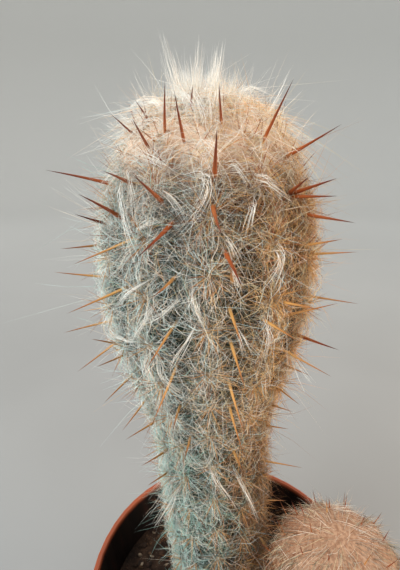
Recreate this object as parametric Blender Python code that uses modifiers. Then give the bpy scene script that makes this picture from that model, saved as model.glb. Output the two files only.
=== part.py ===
"""A potted woolly column cactus: a club-shaped ribbed stem and a low side shoot in a plastic pot of soil.

Metres, +Z up. The origin is the centre of the pot's underside. The pot and the soil are turned profiles.
Each stem is a turned profile whose wall is raised into ribs by a formula, with spines and wool locks
planted at the woolly cushions (areoles) along the ribs, and fused to it by one Boolean union.
"""

import math
import random
from dataclasses import dataclass

import bmesh
import bpy
import numpy as np
from mathutils import Matrix, Vector

# Pot
POT_HEIGHT = 0.130
POT_RIM_RADIUS = 0.075
POT_BASE_RADIUS = 0.054
POT_WALL = 0.0024
POT_FLOOR = 0.0032
POT_FOOT_CHAMFER = 0.0015
COLLAR_HEIGHT = 0.017
LIP_THICKNESS = 0.0032
LIP_ARC_POINTS = 5
POT_SIDES = 48
DRAIN_HOLES = 4
DRAIN_RADIUS = 0.0045
DRAIN_CIRCLE = 0.033
DRAIN_SIDES = 12

# Soil: its top has low waves, each with its height, its waves per metre along X and Y, and a shift
SOIL_LEVEL = 0.104
SOIL_RINGS = 6
SOIL_WAVES = ((0.0007, 25.0, 9.0, 0.3), (0.0006, -11.0, 34.0, 0.8), (0.0003, 46.0, -21.0, 0.1))
SOIL_HIGHEST = sum(wave[0] for wave in SOIL_WAVES)

# Fits
GAP = 0.0003
MERGE = 0.00001
CUT_EXTRA = 0.01
CLEARANCE = 0.0012

# The mesh of a stem's body
COLUMNS_PER_RIB = 2
OUTLINE_SAMPLES = 2000
CROWN_POWER = 2.4
RIB_START = 0.004
RIB_FADE = 0.014
SMALL_CROWN = 0.007

# Spines and locks, each as length and greatest thickness
CENTRAL_SPINE = (0.026, 0.0017)
RADIAL_SPINE = (0.0095, 0.0009)
WOOL_LOCK = (0.0150, 0.0050)
CROWN_LOCK = (0.0300, 0.0032)
SPINE_SIDES = 3
RADIALS = 2
RADIAL_LEAN = math.radians(52)
LOCK_LEAN = math.radians(62)
CENTRAL_DROOP = -0.22
CENTRAL_RISE = 1.1
CENTRAL_SWAY = 0.25
CENTRAL_NOD = 0.16
SIZE_SPREAD = (0.82, 1.10)
CROWN_SPREAD = (0.60, 1.0)
CROWN_FAN = 0.55
CROWN_SWAY = 0.15
CROWN_DROP = 0.35
THINNEST = 0.7
# Where round an areole each root sits, in shares of a column and of a row of the body's mesh
CENTRAL_ROOT = (0.20, 0.22)
RADIAL_ROOT = (0.30, -0.35)
LOCK_ROOT = (-0.28, 0.30)
ROOT_DEPTH = 0.0035
FLATTEST = 0.4
# How a spine that would touch a neighbour is turned up: in this many steps, tested at these shares of it
LIFT_STEPS = 9
TESTED = (0.25, 0.5, 0.75, 1.0)
UP = Vector((0.0, 0.0, 1.0))


@dataclass
class Stem:
    """One stem: how deep and where it stands, its outline, its ribs, and the scale of its spines."""

    name: str
    depth: float
    foot: tuple
    head: tuple
    lean_from: float
    lean_to: float
    foot_radius: float
    neck_radius: float
    head_radius: float
    neck_from: float
    neck_to: float
    swell_from: float
    swell_to: float
    apex: float
    ribs: int
    rib_depth: float
    tubercle: float
    areole_spacing: float
    spine_scale: tuple
    crown_locks: int
    crown_spread: float
    crown_scale: float
    seed: int


MAIN = Stem(
    name="main_stem",
    depth=0.040,
    foot=(-0.005, 0.0),
    head=(-0.013, 0.0),
    lean_from=0.110,
    lean_to=0.300,
    foot_radius=0.0212,
    neck_radius=0.0242,
    head_radius=0.0405,
    neck_from=0.106,
    neck_to=0.195,
    swell_from=0.222,
    swell_to=0.304,
    apex=0.359,
    ribs=12,
    rib_depth=0.17,
    tubercle=0.0012,
    areole_spacing=0.018,
    spine_scale=(0.55, 1.0),
    crown_locks=40,
    crown_spread=0.021,
    crown_scale=1.0,
    seed=11,
)
SHOOT = Stem(
    name="side_shoot",
    depth=0.018,
    foot=(0.0410, -0.0225),
    head=(0.0460, -0.0260),
    lean_from=0.106,
    lean_to=0.165,
    foot_radius=0.0160,
    neck_radius=0.0190,
    head_radius=0.0295,
    neck_from=0.106,
    neck_to=0.126,
    swell_from=0.126,
    swell_to=0.160,
    apex=0.190,
    ribs=11,
    rib_depth=0.15,
    tubercle=0.0009,
    areole_spacing=0.0135,
    spine_scale=(0.40, 0.50),
    crown_locks=14,
    crown_spread=0.016,
    crown_scale=0.36,
    seed=23,
)
# Below the shoot's top an upright plane across the line between the two stems keeps their spines apart
PARTING_POINT = (0.0175, -0.0119)
PARTING_TOP = 0.208

# Colours as linear RGB, and roughness
FINISHES = {
    "pot": ((0.30, 0.075, 0.035), 0.50),
    "soil": ((0.030, 0.020, 0.013), 0.95),
    "main_stem": ((0.34, 0.33, 0.25), 0.80),
    "side_shoot": ((0.46, 0.36, 0.27), 0.80),
}


def clear_scene():
    """Removes every object that the scene starts with."""
    for obj in list(bpy.data.objects):
        bpy.data.objects.remove(obj, do_unlink=True)


def new_collection(name):
    """Makes a collection under the scene's own."""
    collection = bpy.data.collections.new(name)
    bpy.context.scene.collection.children.link(collection)
    return collection


def finish(name):
    """Makes a sub-part's material from its colour and roughness."""
    colour, roughness = FINISHES[name]
    material = bpy.data.materials.new(name)
    material.use_nodes = True
    shader = material.node_tree.nodes["Principled BSDF"]
    shader.inputs["Base Color"].default_value = (*colour, 1.0)
    shader.inputs["Roughness"].default_value = roughness
    shader.inputs["Metallic"].default_value = 0.0
    return material


def smooth(value, start, end):
    """Rises from 0 at start to 1 at end with level ends."""
    t = np.clip((value - start) / (end - start), 0.0, 1.0)
    return t * t * (3.0 - 2.0 * t)


def turned(name, profile, sides, collection):
    """Turns a profile about Z. Its points are (radius, height), the outer side listed top to bottom."""
    mesh = bpy.data.meshes.new(name)
    points = [(radius, 0.0, height) for radius, height in profile]
    mesh.from_pydata(points, [(i, i + 1) for i in range(len(points) - 1)], [])
    obj = bpy.data.objects.new(name, mesh)
    collection.objects.link(obj)
    screw = obj.modifiers.new("turn", "SCREW")
    screw.steps = sides
    screw.render_steps = sides
    screw.use_merge_vertices = True
    screw.merge_threshold = MERGE
    return obj


def apply_modifiers(obj):
    """Replaces an object's mesh by the one that its modifiers give."""
    bpy.context.view_layer.update()
    graph = bpy.context.evaluated_depsgraph_get()
    mesh = bpy.data.meshes.new_from_object(obj.evaluated_get(graph))
    obj.modifiers.clear()
    obj.data = mesh


def cylinder_cutter(name, radius, sides, centre, bottom, top, collection):
    """Makes a closed upright cylinder that another piece is cut with."""
    mesh = bpy.data.meshes.new(name)
    bm = bmesh.new()
    bmesh.ops.create_cone(
        bm, cap_ends=True, segments=sides, radius1=radius, radius2=radius, depth=top - bottom
    )
    bm.to_mesh(mesh)
    bm.free()
    obj = bpy.data.objects.new(name, mesh)
    obj.location = (*centre, (bottom + top) / 2.0)
    obj.hide_render = True
    obj.display_type = "WIRE"
    collection.objects.link(obj)
    return obj


def cut(obj, cutter):
    """Takes a cutter's shape out of an object."""
    modifier = obj.modifiers.new("cut_" + cutter.name, "BOOLEAN")
    modifier.operation = "DIFFERENCE"
    modifier.solver = "EXACT"
    modifier.object = cutter


def dress(obj):
    """Gives a finished object its material and smooth shading with sharp edges kept."""
    obj.data.materials.clear()
    obj.data.materials.append(finish(obj.name))
    obj.data.shade_smooth()
    obj.data.set_sharp_from_angle(angle=math.radians(40))


def pot_inner_radius(height):
    """The pot's inner wall at a height: a straight taper from the floor to the lip."""
    low = POT_BASE_RADIUS - POT_WALL
    high = POT_RIM_RADIUS - LIP_THICKNESS
    return low + (high - low) * (height - POT_FLOOR) / (POT_HEIGHT - POT_FLOOR)


def pot_profile():
    """The pot's section: inner floor, inner wall, round lip, collar, outer wall and flat underside."""
    half = LIP_THICKNESS / 2.0
    lip_height = POT_HEIGHT - half
    lip_centre = POT_RIM_RADIUS - half
    angles = [math.pi * (1.0 - i / (LIP_ARC_POINTS - 1)) for i in range(LIP_ARC_POINTS)]
    lip = [(lip_centre + half * math.cos(a), lip_height + half * math.sin(a)) for a in angles]
    collar_bottom = POT_HEIGHT - COLLAR_HEIGHT
    under_collar = pot_inner_radius(collar_bottom) + POT_WALL
    floor = [(0.0, POT_FLOOR), (pot_inner_radius(POT_FLOOR), POT_FLOOR)]
    collar = [(POT_RIM_RADIUS - POT_WALL / 4.0, collar_bottom), (under_collar, collar_bottom)]
    base = [
        (POT_BASE_RADIUS, POT_FOOT_CHAMFER),
        (POT_BASE_RADIUS - POT_FOOT_CHAMFER, 0.0),
        (0.0, 0.0),
    ]
    return floor + lip + collar + base


def make_pot(parts, cutters):
    """The plastic pot, with drain holes round a solid flat centre."""
    pot = turned("pot", pot_profile(), POT_SIDES, parts)
    for i in range(DRAIN_HOLES):
        angle = 2.0 * math.pi * (i + 0.5) / DRAIN_HOLES
        centre = (DRAIN_CIRCLE * math.cos(angle), DRAIN_CIRCLE * math.sin(angle))
        name = "drain_" + str(i)
        hole = cylinder_cutter(
            name, DRAIN_RADIUS, DRAIN_SIDES, centre, -CUT_EXTRA, POT_FLOOR + CUT_EXTRA, cutters
        )
        cut(pot, hole)
    apply_modifiers(pot)
    dress(pot)


def soil_profile():
    """The soil's section, a little clear of the pot, with rings on top that take the relief."""
    bottom = POT_FLOOR + GAP
    wide = pot_inner_radius(SOIL_LEVEL) - GAP
    narrow = pot_inner_radius(bottom) - GAP
    top = [(wide * i / SOIL_RINGS, SOIL_LEVEL) for i in range(SOIL_RINGS + 1)]
    return top + [(narrow, bottom), (0.0, bottom)]


def soil_relief(x, y):
    """The height of the soil's waves over a place: a sum of sines."""
    return sum(
        height * math.sin(2.0 * math.pi * (along_x * x + along_y * y + shift))
        for height, along_x, along_y, shift in SOIL_WAVES
    )


def make_soil(parts, cutters):
    """The potting mix, with a plain blind hole for each stem."""
    soil = turned("soil", soil_profile(), POT_SIDES, parts)
    apply_modifiers(soil)
    edge = pot_inner_radius(SOIL_LEVEL) - 2.0 * GAP
    for vertex in soil.data.vertices:
        x, y, z = vertex.co
        if z > SOIL_LEVEL - GAP and math.hypot(x, y) < edge:
            vertex.co.z = z + soil_relief(x, y)
    for stem in (MAIN, SHOOT):
        sides = stem.ribs * COLUMNS_PER_RIB
        radius = stem.foot_radius + GAP
        bottom = SOIL_LEVEL - stem.depth - GAP
        name = "hole_for_" + stem.name
        top = SOIL_LEVEL + CUT_EXTRA
        cut(soil, cylinder_cutter(name, radius, sides, stem.foot, bottom, top, cutters))
    apply_modifiers(soil)
    dress(soil)


def stem_outline(stem):
    """A stem's outline from its base to its apex: radius, height and length along it.

    The column's radius steps up smoothly from foot to neck and from neck to head. The crown is a
    superellipse from the head's widest height to the apex.
    """
    column = np.linspace(SOIL_LEVEL - stem.depth, stem.swell_to, OUTLINE_SAMPLES)
    to_neck = (stem.neck_radius - stem.foot_radius) * smooth(column, stem.neck_from, stem.neck_to)
    to_head = (stem.head_radius - stem.neck_radius) * smooth(column, stem.swell_from, stem.swell_to)
    radius = stem.foot_radius + to_neck + to_head
    turn = np.linspace(0.0, math.pi / 2.0, OUTLINE_SAMPLES)[1:]
    crown_radius = stem.head_radius * np.cos(turn) ** (2.0 / CROWN_POWER)
    crown = stem.swell_to + (stem.apex - stem.swell_to) * np.sin(turn) ** (2.0 / CROWN_POWER)
    radius = np.concatenate([radius, crown_radius])
    height = np.concatenate([column, crown])
    length = np.concatenate([[0.0], np.cumsum(np.hypot(np.diff(radius), np.diff(height)))])
    return radius, height, length


def stem_rows(stem):
    """Lengths along the outline of the mesh's rows: base, soil line, then half an areole spacing each."""
    radius, height, length = stem_outline(stem)
    start = np.interp(SOIL_LEVEL + RIB_START, height, length)
    step = stem.areole_spacing / 2.0
    count = int((length[-1] - start - step / 2.0) / step)
    return np.concatenate([[0.0, start], start + step * np.arange(1, count + 1), [length[-1]]])


def skin(stem, angle, along):
    """A point on a stem's skin for an angle about its axis and a length along its outline.

    The radius is lowered between ribs by a cosine of the angle, and waves along each crest by a cosine
    of the length, in opposite phase on neighbouring ribs, so that each areole sits on a low bump.
    """
    radius, height, length = stem_outline(stem)
    r = np.interp(along, length, radius)
    z = np.interp(along, length, height)
    start = np.interp(SOIL_LEVEL + RIB_START, height, length)
    ribbed = smooth(along, start, start + RIB_FADE)
    crest = (1.0 + np.cos(stem.ribs * angle)) / 2.0
    phase = 2.0 * math.pi * (along - start) / stem.areole_spacing + stem.ribs * angle / 2.0
    bump = stem.tubercle * crest * np.cos(phase) * np.minimum(1.0, r / SMALL_CROWN)
    r = r * (1.0 - ribbed * stem.rib_depth * (1.0 - crest)) + ribbed * bump * (r > 0.0)
    lean = smooth(z, stem.lean_from, stem.lean_to)
    x = stem.foot[0] + (stem.head[0] - stem.foot[0]) * lean + r * np.cos(angle)
    y = stem.foot[1] + (stem.head[1] - stem.foot[1]) * lean + r * np.sin(angle)
    return np.stack(np.broadcast_arrays(x, y, z), axis=-1)


def outward(stem, angle, along):
    """The unit direction out of a stem's smooth outline, without its ribs."""
    radius, height, length = stem_outline(stem)
    step = stem.areole_spacing / 4.0
    low, high = max(along - step, 0.0), min(along + step, length[-1])
    rise = np.interp(high, length, height) - np.interp(low, length, height)
    widen = np.interp(high, length, radius) - np.interp(low, length, radius)
    size = math.hypot(rise, widen)
    return Vector((rise * math.cos(angle) / size, rise * math.sin(angle) / size, -widen / size))


def make_body(stem, collection):
    """The ribbed body: a turned outline whose vertices are moved onto the ribbed skin."""
    radius, height, length = stem_outline(stem)
    rows = stem_rows(stem)
    profile = [(float(np.interp(s, length, radius)), float(np.interp(s, length, height))) for s in rows]
    profile[-1] = (0.0, profile[-1][1])
    base = (0.0, profile[0][1])
    body = turned(stem.name, profile[::-1] + [base], stem.ribs * COLUMNS_PER_RIB, collection)
    apply_modifiers(body)
    for vertex in body.data.vertices:
        x, y, z = vertex.co
        if math.hypot(x, y) < MERGE:
            place = stem.foot if z < SOIL_LEVEL else stem.head
            vertex.co = (place[0], place[1], z)
        else:
            vertex.co = skin(stem, math.atan2(y, x), np.interp(z, height, length))
    return body


def areoles(stem):
    """The places of a stem's areoles, as (angle, length along the outline), staggered between ribs."""
    radius, height, length = stem_outline(stem)
    rows = stem_rows(stem)[2:-1]
    places = []
    for row, along in enumerate(rows):
        if np.interp(along, length, radius) < SMALL_CROWN:
            continue
        for rib in range(stem.ribs):
            if (row + rib) % 2:
                places.append((2.0 * math.pi * rib / stem.ribs, float(along)))
    return places


def beyond_parting(point):
    """How far a point is past the upright plane between the stems, on the shoot's side."""
    across = Vector(SHOOT.head) - Vector(MAIN.foot)
    return (point.xy - Vector(PARTING_POINT)).dot(across.normalized())


def is_clear(stem, start, tip, thickness):
    """Says whether a spine from start to tip keeps clear of the pot, the soil and the other stem."""
    for share in TESTED:
        point = start.lerp(tip, share)
        margin = CLEARANCE + thickness * (1.0 - share)
        side = beyond_parting(point)
        if stem is MAIN and point.z < PARTING_TOP and side > -margin:
            return False
        if stem is SHOOT and side < margin:
            return False
        if point.z < SOIL_LEVEL + SOIL_HIGHEST + margin:
            return False
        reach = math.hypot(point.x, point.y)
        if point.z < POT_HEIGHT + margin and reach > pot_inner_radius(point.z) - margin:
            return False
    return True


def clear_course(stem, root, normal, direction, size, thickness):
    """Where a spine starts, sunk below the skin, and its tip. It is turned up in steps until it is clear."""
    start = root - normal * ROOT_DEPTH
    for step in range(LIFT_STEPS):
        turned_up = direction.lerp(UP, step / (LIFT_STEPS - 1)).normalized()
        buried = ROOT_DEPTH / max(turned_up.dot(normal), FLATTEST)
        tip = start + turned_up * (size + buried)
        if is_clear(stem, start, tip, thickness):
            return start, tip
    return None


def spine_mesh(name):
    """A three-sided spine of unit length and thickness, from z = 0 to its tip at z = 1."""
    mesh = bpy.data.meshes.new(name)
    bm = bmesh.new()
    bmesh.ops.create_cone(bm, cap_ends=True, segments=SPINE_SIDES, radius1=0.5, radius2=0.0, depth=1.0)
    bmesh.ops.remove_doubles(bm, verts=bm.verts, dist=MERGE)
    bmesh.ops.translate(bm, verts=bm.verts, vec=(0.0, 0.0, 0.5))
    bm.to_mesh(mesh)
    bm.free()
    return mesh


def plant(mesh, course, thickness, spin, collection):
    """Places one spine along its course, turned about itself by an angle."""
    start, tip = course
    way = tip - start
    turn = way.to_track_quat("Z", "Y").to_matrix().to_4x4()
    scale = Matrix.Diagonal((thickness, thickness, way.length, 1.0))
    obj = bpy.data.objects.new(mesh.name, mesh)
    obj.matrix_world = Matrix.Translation(start) @ turn @ Matrix.Rotation(spin, 4, "Z") @ scale
    collection.objects.link(obj)


def sideways(normal, turn):
    """A unit direction square to a normal, turned about it from level by an angle."""
    return Matrix.Rotation(turn, 3, normal) @ normal.cross(UP).normalized()


def near_areole(stem, angle, along, place):
    """A root beside an areole's middle, inside a face of the body's mesh and not on its edges."""
    column = 2.0 * math.pi / (stem.ribs * COLUMNS_PER_RIB)
    row = stem.areole_spacing / 2.0
    return Vector(skin(stem, angle + place[0] * column, along + place[1] * row))


def spine_size(stem, height):
    """How large a spine is at a height: small near the soil and full size on the head."""
    low, high = stem.spine_scale
    return low + (high - low) * float(smooth(height, SOIL_LEVEL, stem.swell_to))


def central_direction(normal, draw):
    """The way a central spine points: out of the skin, drooping on the sides and upright on the crown."""
    up = max(normal.z, 0.0)
    rise = CENTRAL_DROOP * (1.0 - up) + CENTRAL_RISE * up + draw.uniform(-CENTRAL_NOD, CENTRAL_NOD)
    sway = draw.uniform(-CENTRAL_SWAY, CENTRAL_SWAY)
    return (normal + sideways(normal, 0.0) * sway + UP * rise).normalized()


def leaning(normal, lean, turn):
    """A direction that leans from the normal by one angle, towards a side given by another."""
    return normal * math.cos(lean) + sideways(normal, turn) * math.sin(lean)


def plant_areole(stem, mesh, angle, along, draw, collection):
    """One areole: a central spine, its radial spines and a lock of wool."""
    normal = outward(stem, angle, along)
    scale = spine_size(stem, skin(stem, angle, along)[2])
    tuft = [(CENTRAL_ROOT, central_direction(normal, draw), CENTRAL_SPINE)]
    for i in range(RADIALS):
        turn = math.pi * i + draw.uniform(-0.5, 0.5)
        place = (RADIAL_ROOT[0] * (-1.0) ** i, RADIAL_ROOT[1])
        tuft.append((place, leaning(normal, RADIAL_LEAN, turn), RADIAL_SPINE))
    turn = draw.uniform(0.0, 2.0 * math.pi)
    tuft.append((LOCK_ROOT, leaning(normal, LOCK_LEAN, turn), WOOL_LOCK))
    for place, direction, (size, thickness) in tuft:
        root = near_areole(stem, angle, along, place)
        size = size * scale * draw.uniform(*SIZE_SPREAD)
        thickness = thickness * max(scale, THINNEST)
        spin = draw.uniform(0.0, math.pi)
        course = clear_course(stem, root, normal, direction, size, thickness)
        if course:
            plant(mesh, course, thickness, spin, collection)


def plant_crown(stem, mesh, draw, collection):
    """The tuft of long locks on a stem's crown, spread by the golden angle and leaning outwards."""
    radius, height, length = stem_outline(stem)
    golden = math.pi * (3.0 - math.sqrt(5.0))
    crown_radius = radius[OUTLINE_SAMPLES:]
    crown_length = length[OUTLINE_SAMPLES:]
    thickness = CROWN_LOCK[1] * max(stem.crown_scale, THINNEST)
    for i in range(stem.crown_locks):
        share_out = math.sqrt((i + 0.5) / stem.crown_locks)
        reach = stem.crown_spread * share_out
        along = float(np.interp(reach, crown_radius[::-1], crown_length[::-1]))
        angle = i * golden
        root = Vector(skin(stem, angle, along))
        lean = CROWN_FAN * share_out + draw.uniform(-CROWN_SWAY, CROWN_SWAY)
        out = Vector((math.cos(angle), math.sin(angle), 0.0))
        direction = (UP + out * lean).normalized()
        size = CROWN_LOCK[0] * stem.crown_scale * draw.uniform(*CROWN_SPREAD) * (1.0 - CROWN_DROP * share_out)
        spin = draw.uniform(0.0, math.pi)
        normal = outward(stem, angle, along)
        course = clear_course(stem, root, normal, direction, size, thickness)
        plant(mesh, course, thickness, spin, collection)


def union(body, collection):
    """Fuses a collection of closed spines to a body with one Boolean, and removes them."""
    modifier = body.modifiers.new("fuse", "BOOLEAN")
    modifier.operation = "UNION"
    modifier.operand_type = "COLLECTION"
    modifier.collection = collection
    modifier.solver = "MANIFOLD"
    apply_modifiers(body)
    for obj in list(collection.objects):
        bpy.data.objects.remove(obj, do_unlink=True)


def make_stem(stem, parts, spines):
    """A whole stem: body, areoles and crown, fused in one node."""
    draw = random.Random(stem.seed)
    body = make_body(stem, parts)
    mesh = spine_mesh("spine")
    for angle, along in areoles(stem):
        plant_areole(stem, mesh, angle, along, draw, spines)
    plant_crown(stem, mesh, draw, spines)
    union(body, spines)
    dress(body)


def main():
    clear_scene()
    parts = new_collection("potted_oreocereus")
    cutters = new_collection("cutters")
    spines = new_collection("spines")
    make_pot(parts, cutters)
    make_soil(parts, cutters)
    for stem in (MAIN, SHOOT):
        make_stem(stem, parts, spines)
    for piece in parts.objects:
        print(piece.name, len(piece.data.vertices), "vertices", len(piece.data.polygons), "faces")


main()
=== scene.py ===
# %% [markdown]
# # A potted woolly column cactus, dressed around its CAD frame
#
# The CAD model gives four solids: a pot, the soil in it, a tall club-shaped stem and a low side shoot. Their
# sizes are fixed. This notebook keeps the pot and the soil and gives them finishes, and it replaces the two
# stems by what the eye sees on the real plant: a green ribbed body, woolly cushions (areoles), sharp spines,
# fine bristles and, over all of it, tens of thousands of white hairs.
#
# Lengths are metres and +Z is up. The origin is the centre of the pot's underside.

import math
from dataclasses import dataclass

import bpy
import numpy as np
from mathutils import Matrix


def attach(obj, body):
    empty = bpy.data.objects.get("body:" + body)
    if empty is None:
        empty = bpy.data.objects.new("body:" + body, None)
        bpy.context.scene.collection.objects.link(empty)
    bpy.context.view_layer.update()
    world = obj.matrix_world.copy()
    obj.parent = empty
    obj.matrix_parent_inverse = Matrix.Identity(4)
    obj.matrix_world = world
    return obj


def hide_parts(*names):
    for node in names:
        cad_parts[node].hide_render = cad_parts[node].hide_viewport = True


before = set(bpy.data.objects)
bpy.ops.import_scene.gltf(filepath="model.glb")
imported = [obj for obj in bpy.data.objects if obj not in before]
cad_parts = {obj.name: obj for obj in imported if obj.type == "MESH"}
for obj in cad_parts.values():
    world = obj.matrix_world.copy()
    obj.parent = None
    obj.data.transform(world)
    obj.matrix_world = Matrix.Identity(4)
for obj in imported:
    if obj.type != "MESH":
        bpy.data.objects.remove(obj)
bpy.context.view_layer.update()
print("CAD nodes:", sorted(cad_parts))

# %% [markdown]
# ## The camera
#
# The photograph looks down on the plant from close by, level with its crown. A close camera makes the head
# look large and the foot look small, so the place matters as much as the direction. The camera comes first,
# because the spines that the photograph shows are placed along its lines of sight.

# %% Camera
FRAME_WIDTH = 400
FRAME_HEIGHT = 570
FOCAL_PIXELS = 384.0
SENSOR = 36.0
CAMERA_PLACE = np.array((-0.0156, -0.1456, 0.351))
CAMERA_PITCH = math.radians(20.0)

camera_data = bpy.data.cameras.new("photo_camera")
camera_data.sensor_width = SENSOR
camera_data.lens = FOCAL_PIXELS / FRAME_HEIGHT * SENSOR
camera_data.clip_start = 0.005
camera = bpy.data.objects.new("photo_camera", camera_data)
camera.location = CAMERA_PLACE
camera.rotation_euler = (math.radians(90.0) - CAMERA_PITCH, 0.0, 0.0)
bpy.context.scene.collection.objects.link(camera)
bpy.context.scene.camera = camera
bpy.context.scene.view_settings.view_transform = "Standard"
print("lens", round(camera_data.lens, 2), "mm")


# %% Lines of sight
def sight_lines(pixels):
    """The direction seen at each pixel: forward, plus right and up by the pixel's place over the focal length."""
    pixels = np.atleast_2d(np.asarray(pixels, float))
    right = (pixels[:, 0] - FRAME_WIDTH / 2.0) / FOCAL_PIXELS
    up = (FRAME_HEIGHT / 2.0 - pixels[:, 1]) / FOCAL_PIXELS
    cos, sin = math.cos(CAMERA_PITCH), math.sin(CAMERA_PITCH)
    return np.stack([right, cos + up * sin, up * cos - sin], axis=1)


# %% [markdown]
# ## Shared shape helpers
#
# Everything that grows is a surface worked out with numpy. `smooth` is the soft step that part of the CAD
# outline uses too, and `unit` makes directions one long.

# %% Soft step and unit vectors
def smooth(value, start, end):
    """Rises from 0 at start to 1 at end with level ends: 3t^2 - 2t^3."""
    t = np.clip((value - start) / (end - start), 0.0, 1.0)
    return t * t * (3.0 - 2.0 * t)


def unit(vectors):
    """Vectors divided by their own length."""
    return vectors / np.maximum(np.linalg.norm(vectors, axis=-1, keepdims=True), 1e-12)


# %% [markdown]
# ## Putting arrays into meshes
#
# A mesh is three lists: points, corners and faces. Blender takes whole arrays for them with `foreach_set`, which is
# quick even for a million corners. Each new object is linked, and `fit_piece` gives a piece its material and hangs it
# on the only body.

# %% Mesh from arrays
def mesh_object(name, points, face_groups, uv_groups=None):
    """An object from an (n, 3) array of points and a list of (m, k) arrays of corner indices."""
    mesh = bpy.data.meshes.new(name)
    corners = np.concatenate([group.ravel() for group in face_groups]).astype(np.int32)
    sizes = np.concatenate([np.full(len(group), group.shape[1]) for group in face_groups])
    starts = np.concatenate([[0], np.cumsum(sizes)[:-1]]).astype(np.int32)
    mesh.vertices.add(len(points))
    mesh.vertices.foreach_set("co", np.asarray(points, np.float32).ravel())
    mesh.loops.add(len(corners))
    mesh.loops.foreach_set("vertex_index", corners)
    mesh.polygons.add(len(sizes))
    mesh.polygons.foreach_set("loop_start", starts)
    mesh.update(calc_edges=True)
    mesh.polygons.foreach_set("use_smooth", np.ones(len(sizes), bool))
    if uv_groups is not None:
        layer = mesh.uv_layers.new(name="OFBake")
        flat = np.concatenate([group.reshape(-1, 2) for group in uv_groups])
        layer.data.foreach_set("uv", flat.astype(np.float32).ravel())
    mesh.validate()
    piece = bpy.data.objects.new(name, mesh)
    bpy.context.scene.collection.objects.link(piece)
    return piece


triangle_counts = {}


def fit_piece(piece, material, replaced=()):
    """Gives a piece its material and its body, hides the CAD nodes it stands for, and counts its triangles."""
    piece.data.materials.clear()
    piece.data.materials.append(material)
    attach(piece, "root")
    if replaced:
        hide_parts(*replaced)
    sizes = np.zeros(len(piece.data.polygons), np.int32)
    piece.data.polygons.foreach_get("loop_total", sizes)
    triangle_counts[piece.name] = int((sizes - 2).sum())
    print(piece.name, triangle_counts[piece.name], "triangles")
    return piece


# %% [markdown]
# ## Writing materials as sums
#
# A material is a net of nodes. Wired by hand it takes many lines, so a small class wraps one output socket
# and lets Python's own signs add the Math nodes. Every other node comes from `Finish.add`.

# %% Material maths
class Wire:
    """One output socket. Signs between wires, or a wire and a number, add Math nodes."""

    def __init__(self, finish, socket):
        self.finish = finish
        self.socket = socket

    def sum(self, operation, other=0.0, swapped=False):
        first, second = (other, self) if swapped else (self, other)
        return self.finish.add("ShaderNodeMath", {"operation": operation}, {0: first, 1: second})

    def __add__(self, other):
        return self.sum("ADD", other)

    __radd__ = __add__

    def __sub__(self, other):
        return self.sum("SUBTRACT", other)

    def __rsub__(self, other):
        return self.sum("SUBTRACT", other, swapped=True)

    def __mul__(self, other):
        return self.sum("MULTIPLY", other)

    __rmul__ = __mul__

    def part(self):
        return self.sum("FRACT")


class Finish:
    """A material with one Principled shader, and the ways to add nodes to it."""

    def __init__(self, name, **constants):
        self.material = bpy.data.materials.new(name)
        self.material.use_nodes = True
        self.nodes = self.material.node_tree.nodes
        self.links = self.material.node_tree.links
        self.shader = self.nodes["Principled BSDF"]
        for socket, value in constants.items():
            self.shader.inputs[socket.replace("_", " ")].default_value = value

    def add(self, kind, settings=None, sockets=None, output=0):
        """Adds a node: its settings first, then its sockets, each a value or a wire."""
        node = self.nodes.new(kind)
        for name, value in (settings or {}).items():
            if name == "stops":
                set_stops(node.color_ramp, value)
            else:
                setattr(node, name, value)
        for key, value in (sockets or {}).items():
            self.put(node.inputs[key], value)
        return Wire(self, node.outputs[output])

    def put(self, socket, value):
        """Links a wire to a socket, or sets the socket's own value."""
        if isinstance(value, Wire):
            self.links.new(value.socket, socket)
        else:
            socket.default_value = value

    def drive(self, name, wire):
        """Feeds one of the shader's sockets."""
        self.put(self.shader.inputs[name], wire)

    def place(self):
        """Where a point is, in metres, in the piece's own coordinates."""
        return self.add("ShaderNodeTexCoord", output="Object")

    def noise(self, place, scale, detail=3.0, roughness=0.55):
        """Cloudy noise about 0.5 whose clouds are 1 / scale metres across."""
        sockets = {"Vector": place, "Scale": scale, "Detail": detail, "Roughness": roughness}
        return self.add("ShaderNodeTexNoise", None, sockets)

    def stretch(self, place, scale):
        """A place with each axis scaled, which draws noise out along the small ones."""
        return self.add("ShaderNodeMapping", {"vector_type": "POINT"}, {"Vector": place, "Scale": scale})

    def step(self, value, low, high):
        """A soft mask: 0 below low, 1 above high."""
        sockets = {"Value": value, "From Min": low, "From Max": high}
        return self.add("ShaderNodeMapRange", {"interpolation_type": "SMOOTHSTEP"}, sockets)

    def ramp(self, value, stops):
        """A colour read off a scale of (place, colour) stops."""
        return self.add("ShaderNodeValToRGB", {"stops": stops}, {"Fac": value})

    def mix(self, factor, first, second, blend="MIX"):
        """Two colours mixed by a factor."""
        settings = {"data_type": "RGBA", "blend_type": blend}
        return self.add("ShaderNodeMix", settings, {0: factor, 6: first, 7: second}, output=2)

    def bump(self, height, distance, strength=1.0):
        """Makes a height in 0 to 1 stand up by a distance in metres."""
        sockets = {"Height": height, "Distance": distance, "Strength": strength}
        self.drive("Normal", self.add("ShaderNodeBump", None, sockets))


def set_stops(ramp, stops):
    """Fills a colour ramp, reusing its own two stops first."""
    while len(ramp.elements) < len(stops):
        ramp.elements.new(1.0)
    for element, (place, colour) in zip(ramp.elements, stops):
        element.position = place
        element.color = colour


def paint(red, green, blue):
    """A colour given as screen values from 0 to 255, as the linear light that shaders use."""
    screen = [value / 255.0 for value in (red, green, blue)]
    linear = [c / 12.92 if c <= 0.04045 else ((c + 0.055) / 1.055) ** 2.4 for c in screen]
    return (*linear, 1.0)


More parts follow.
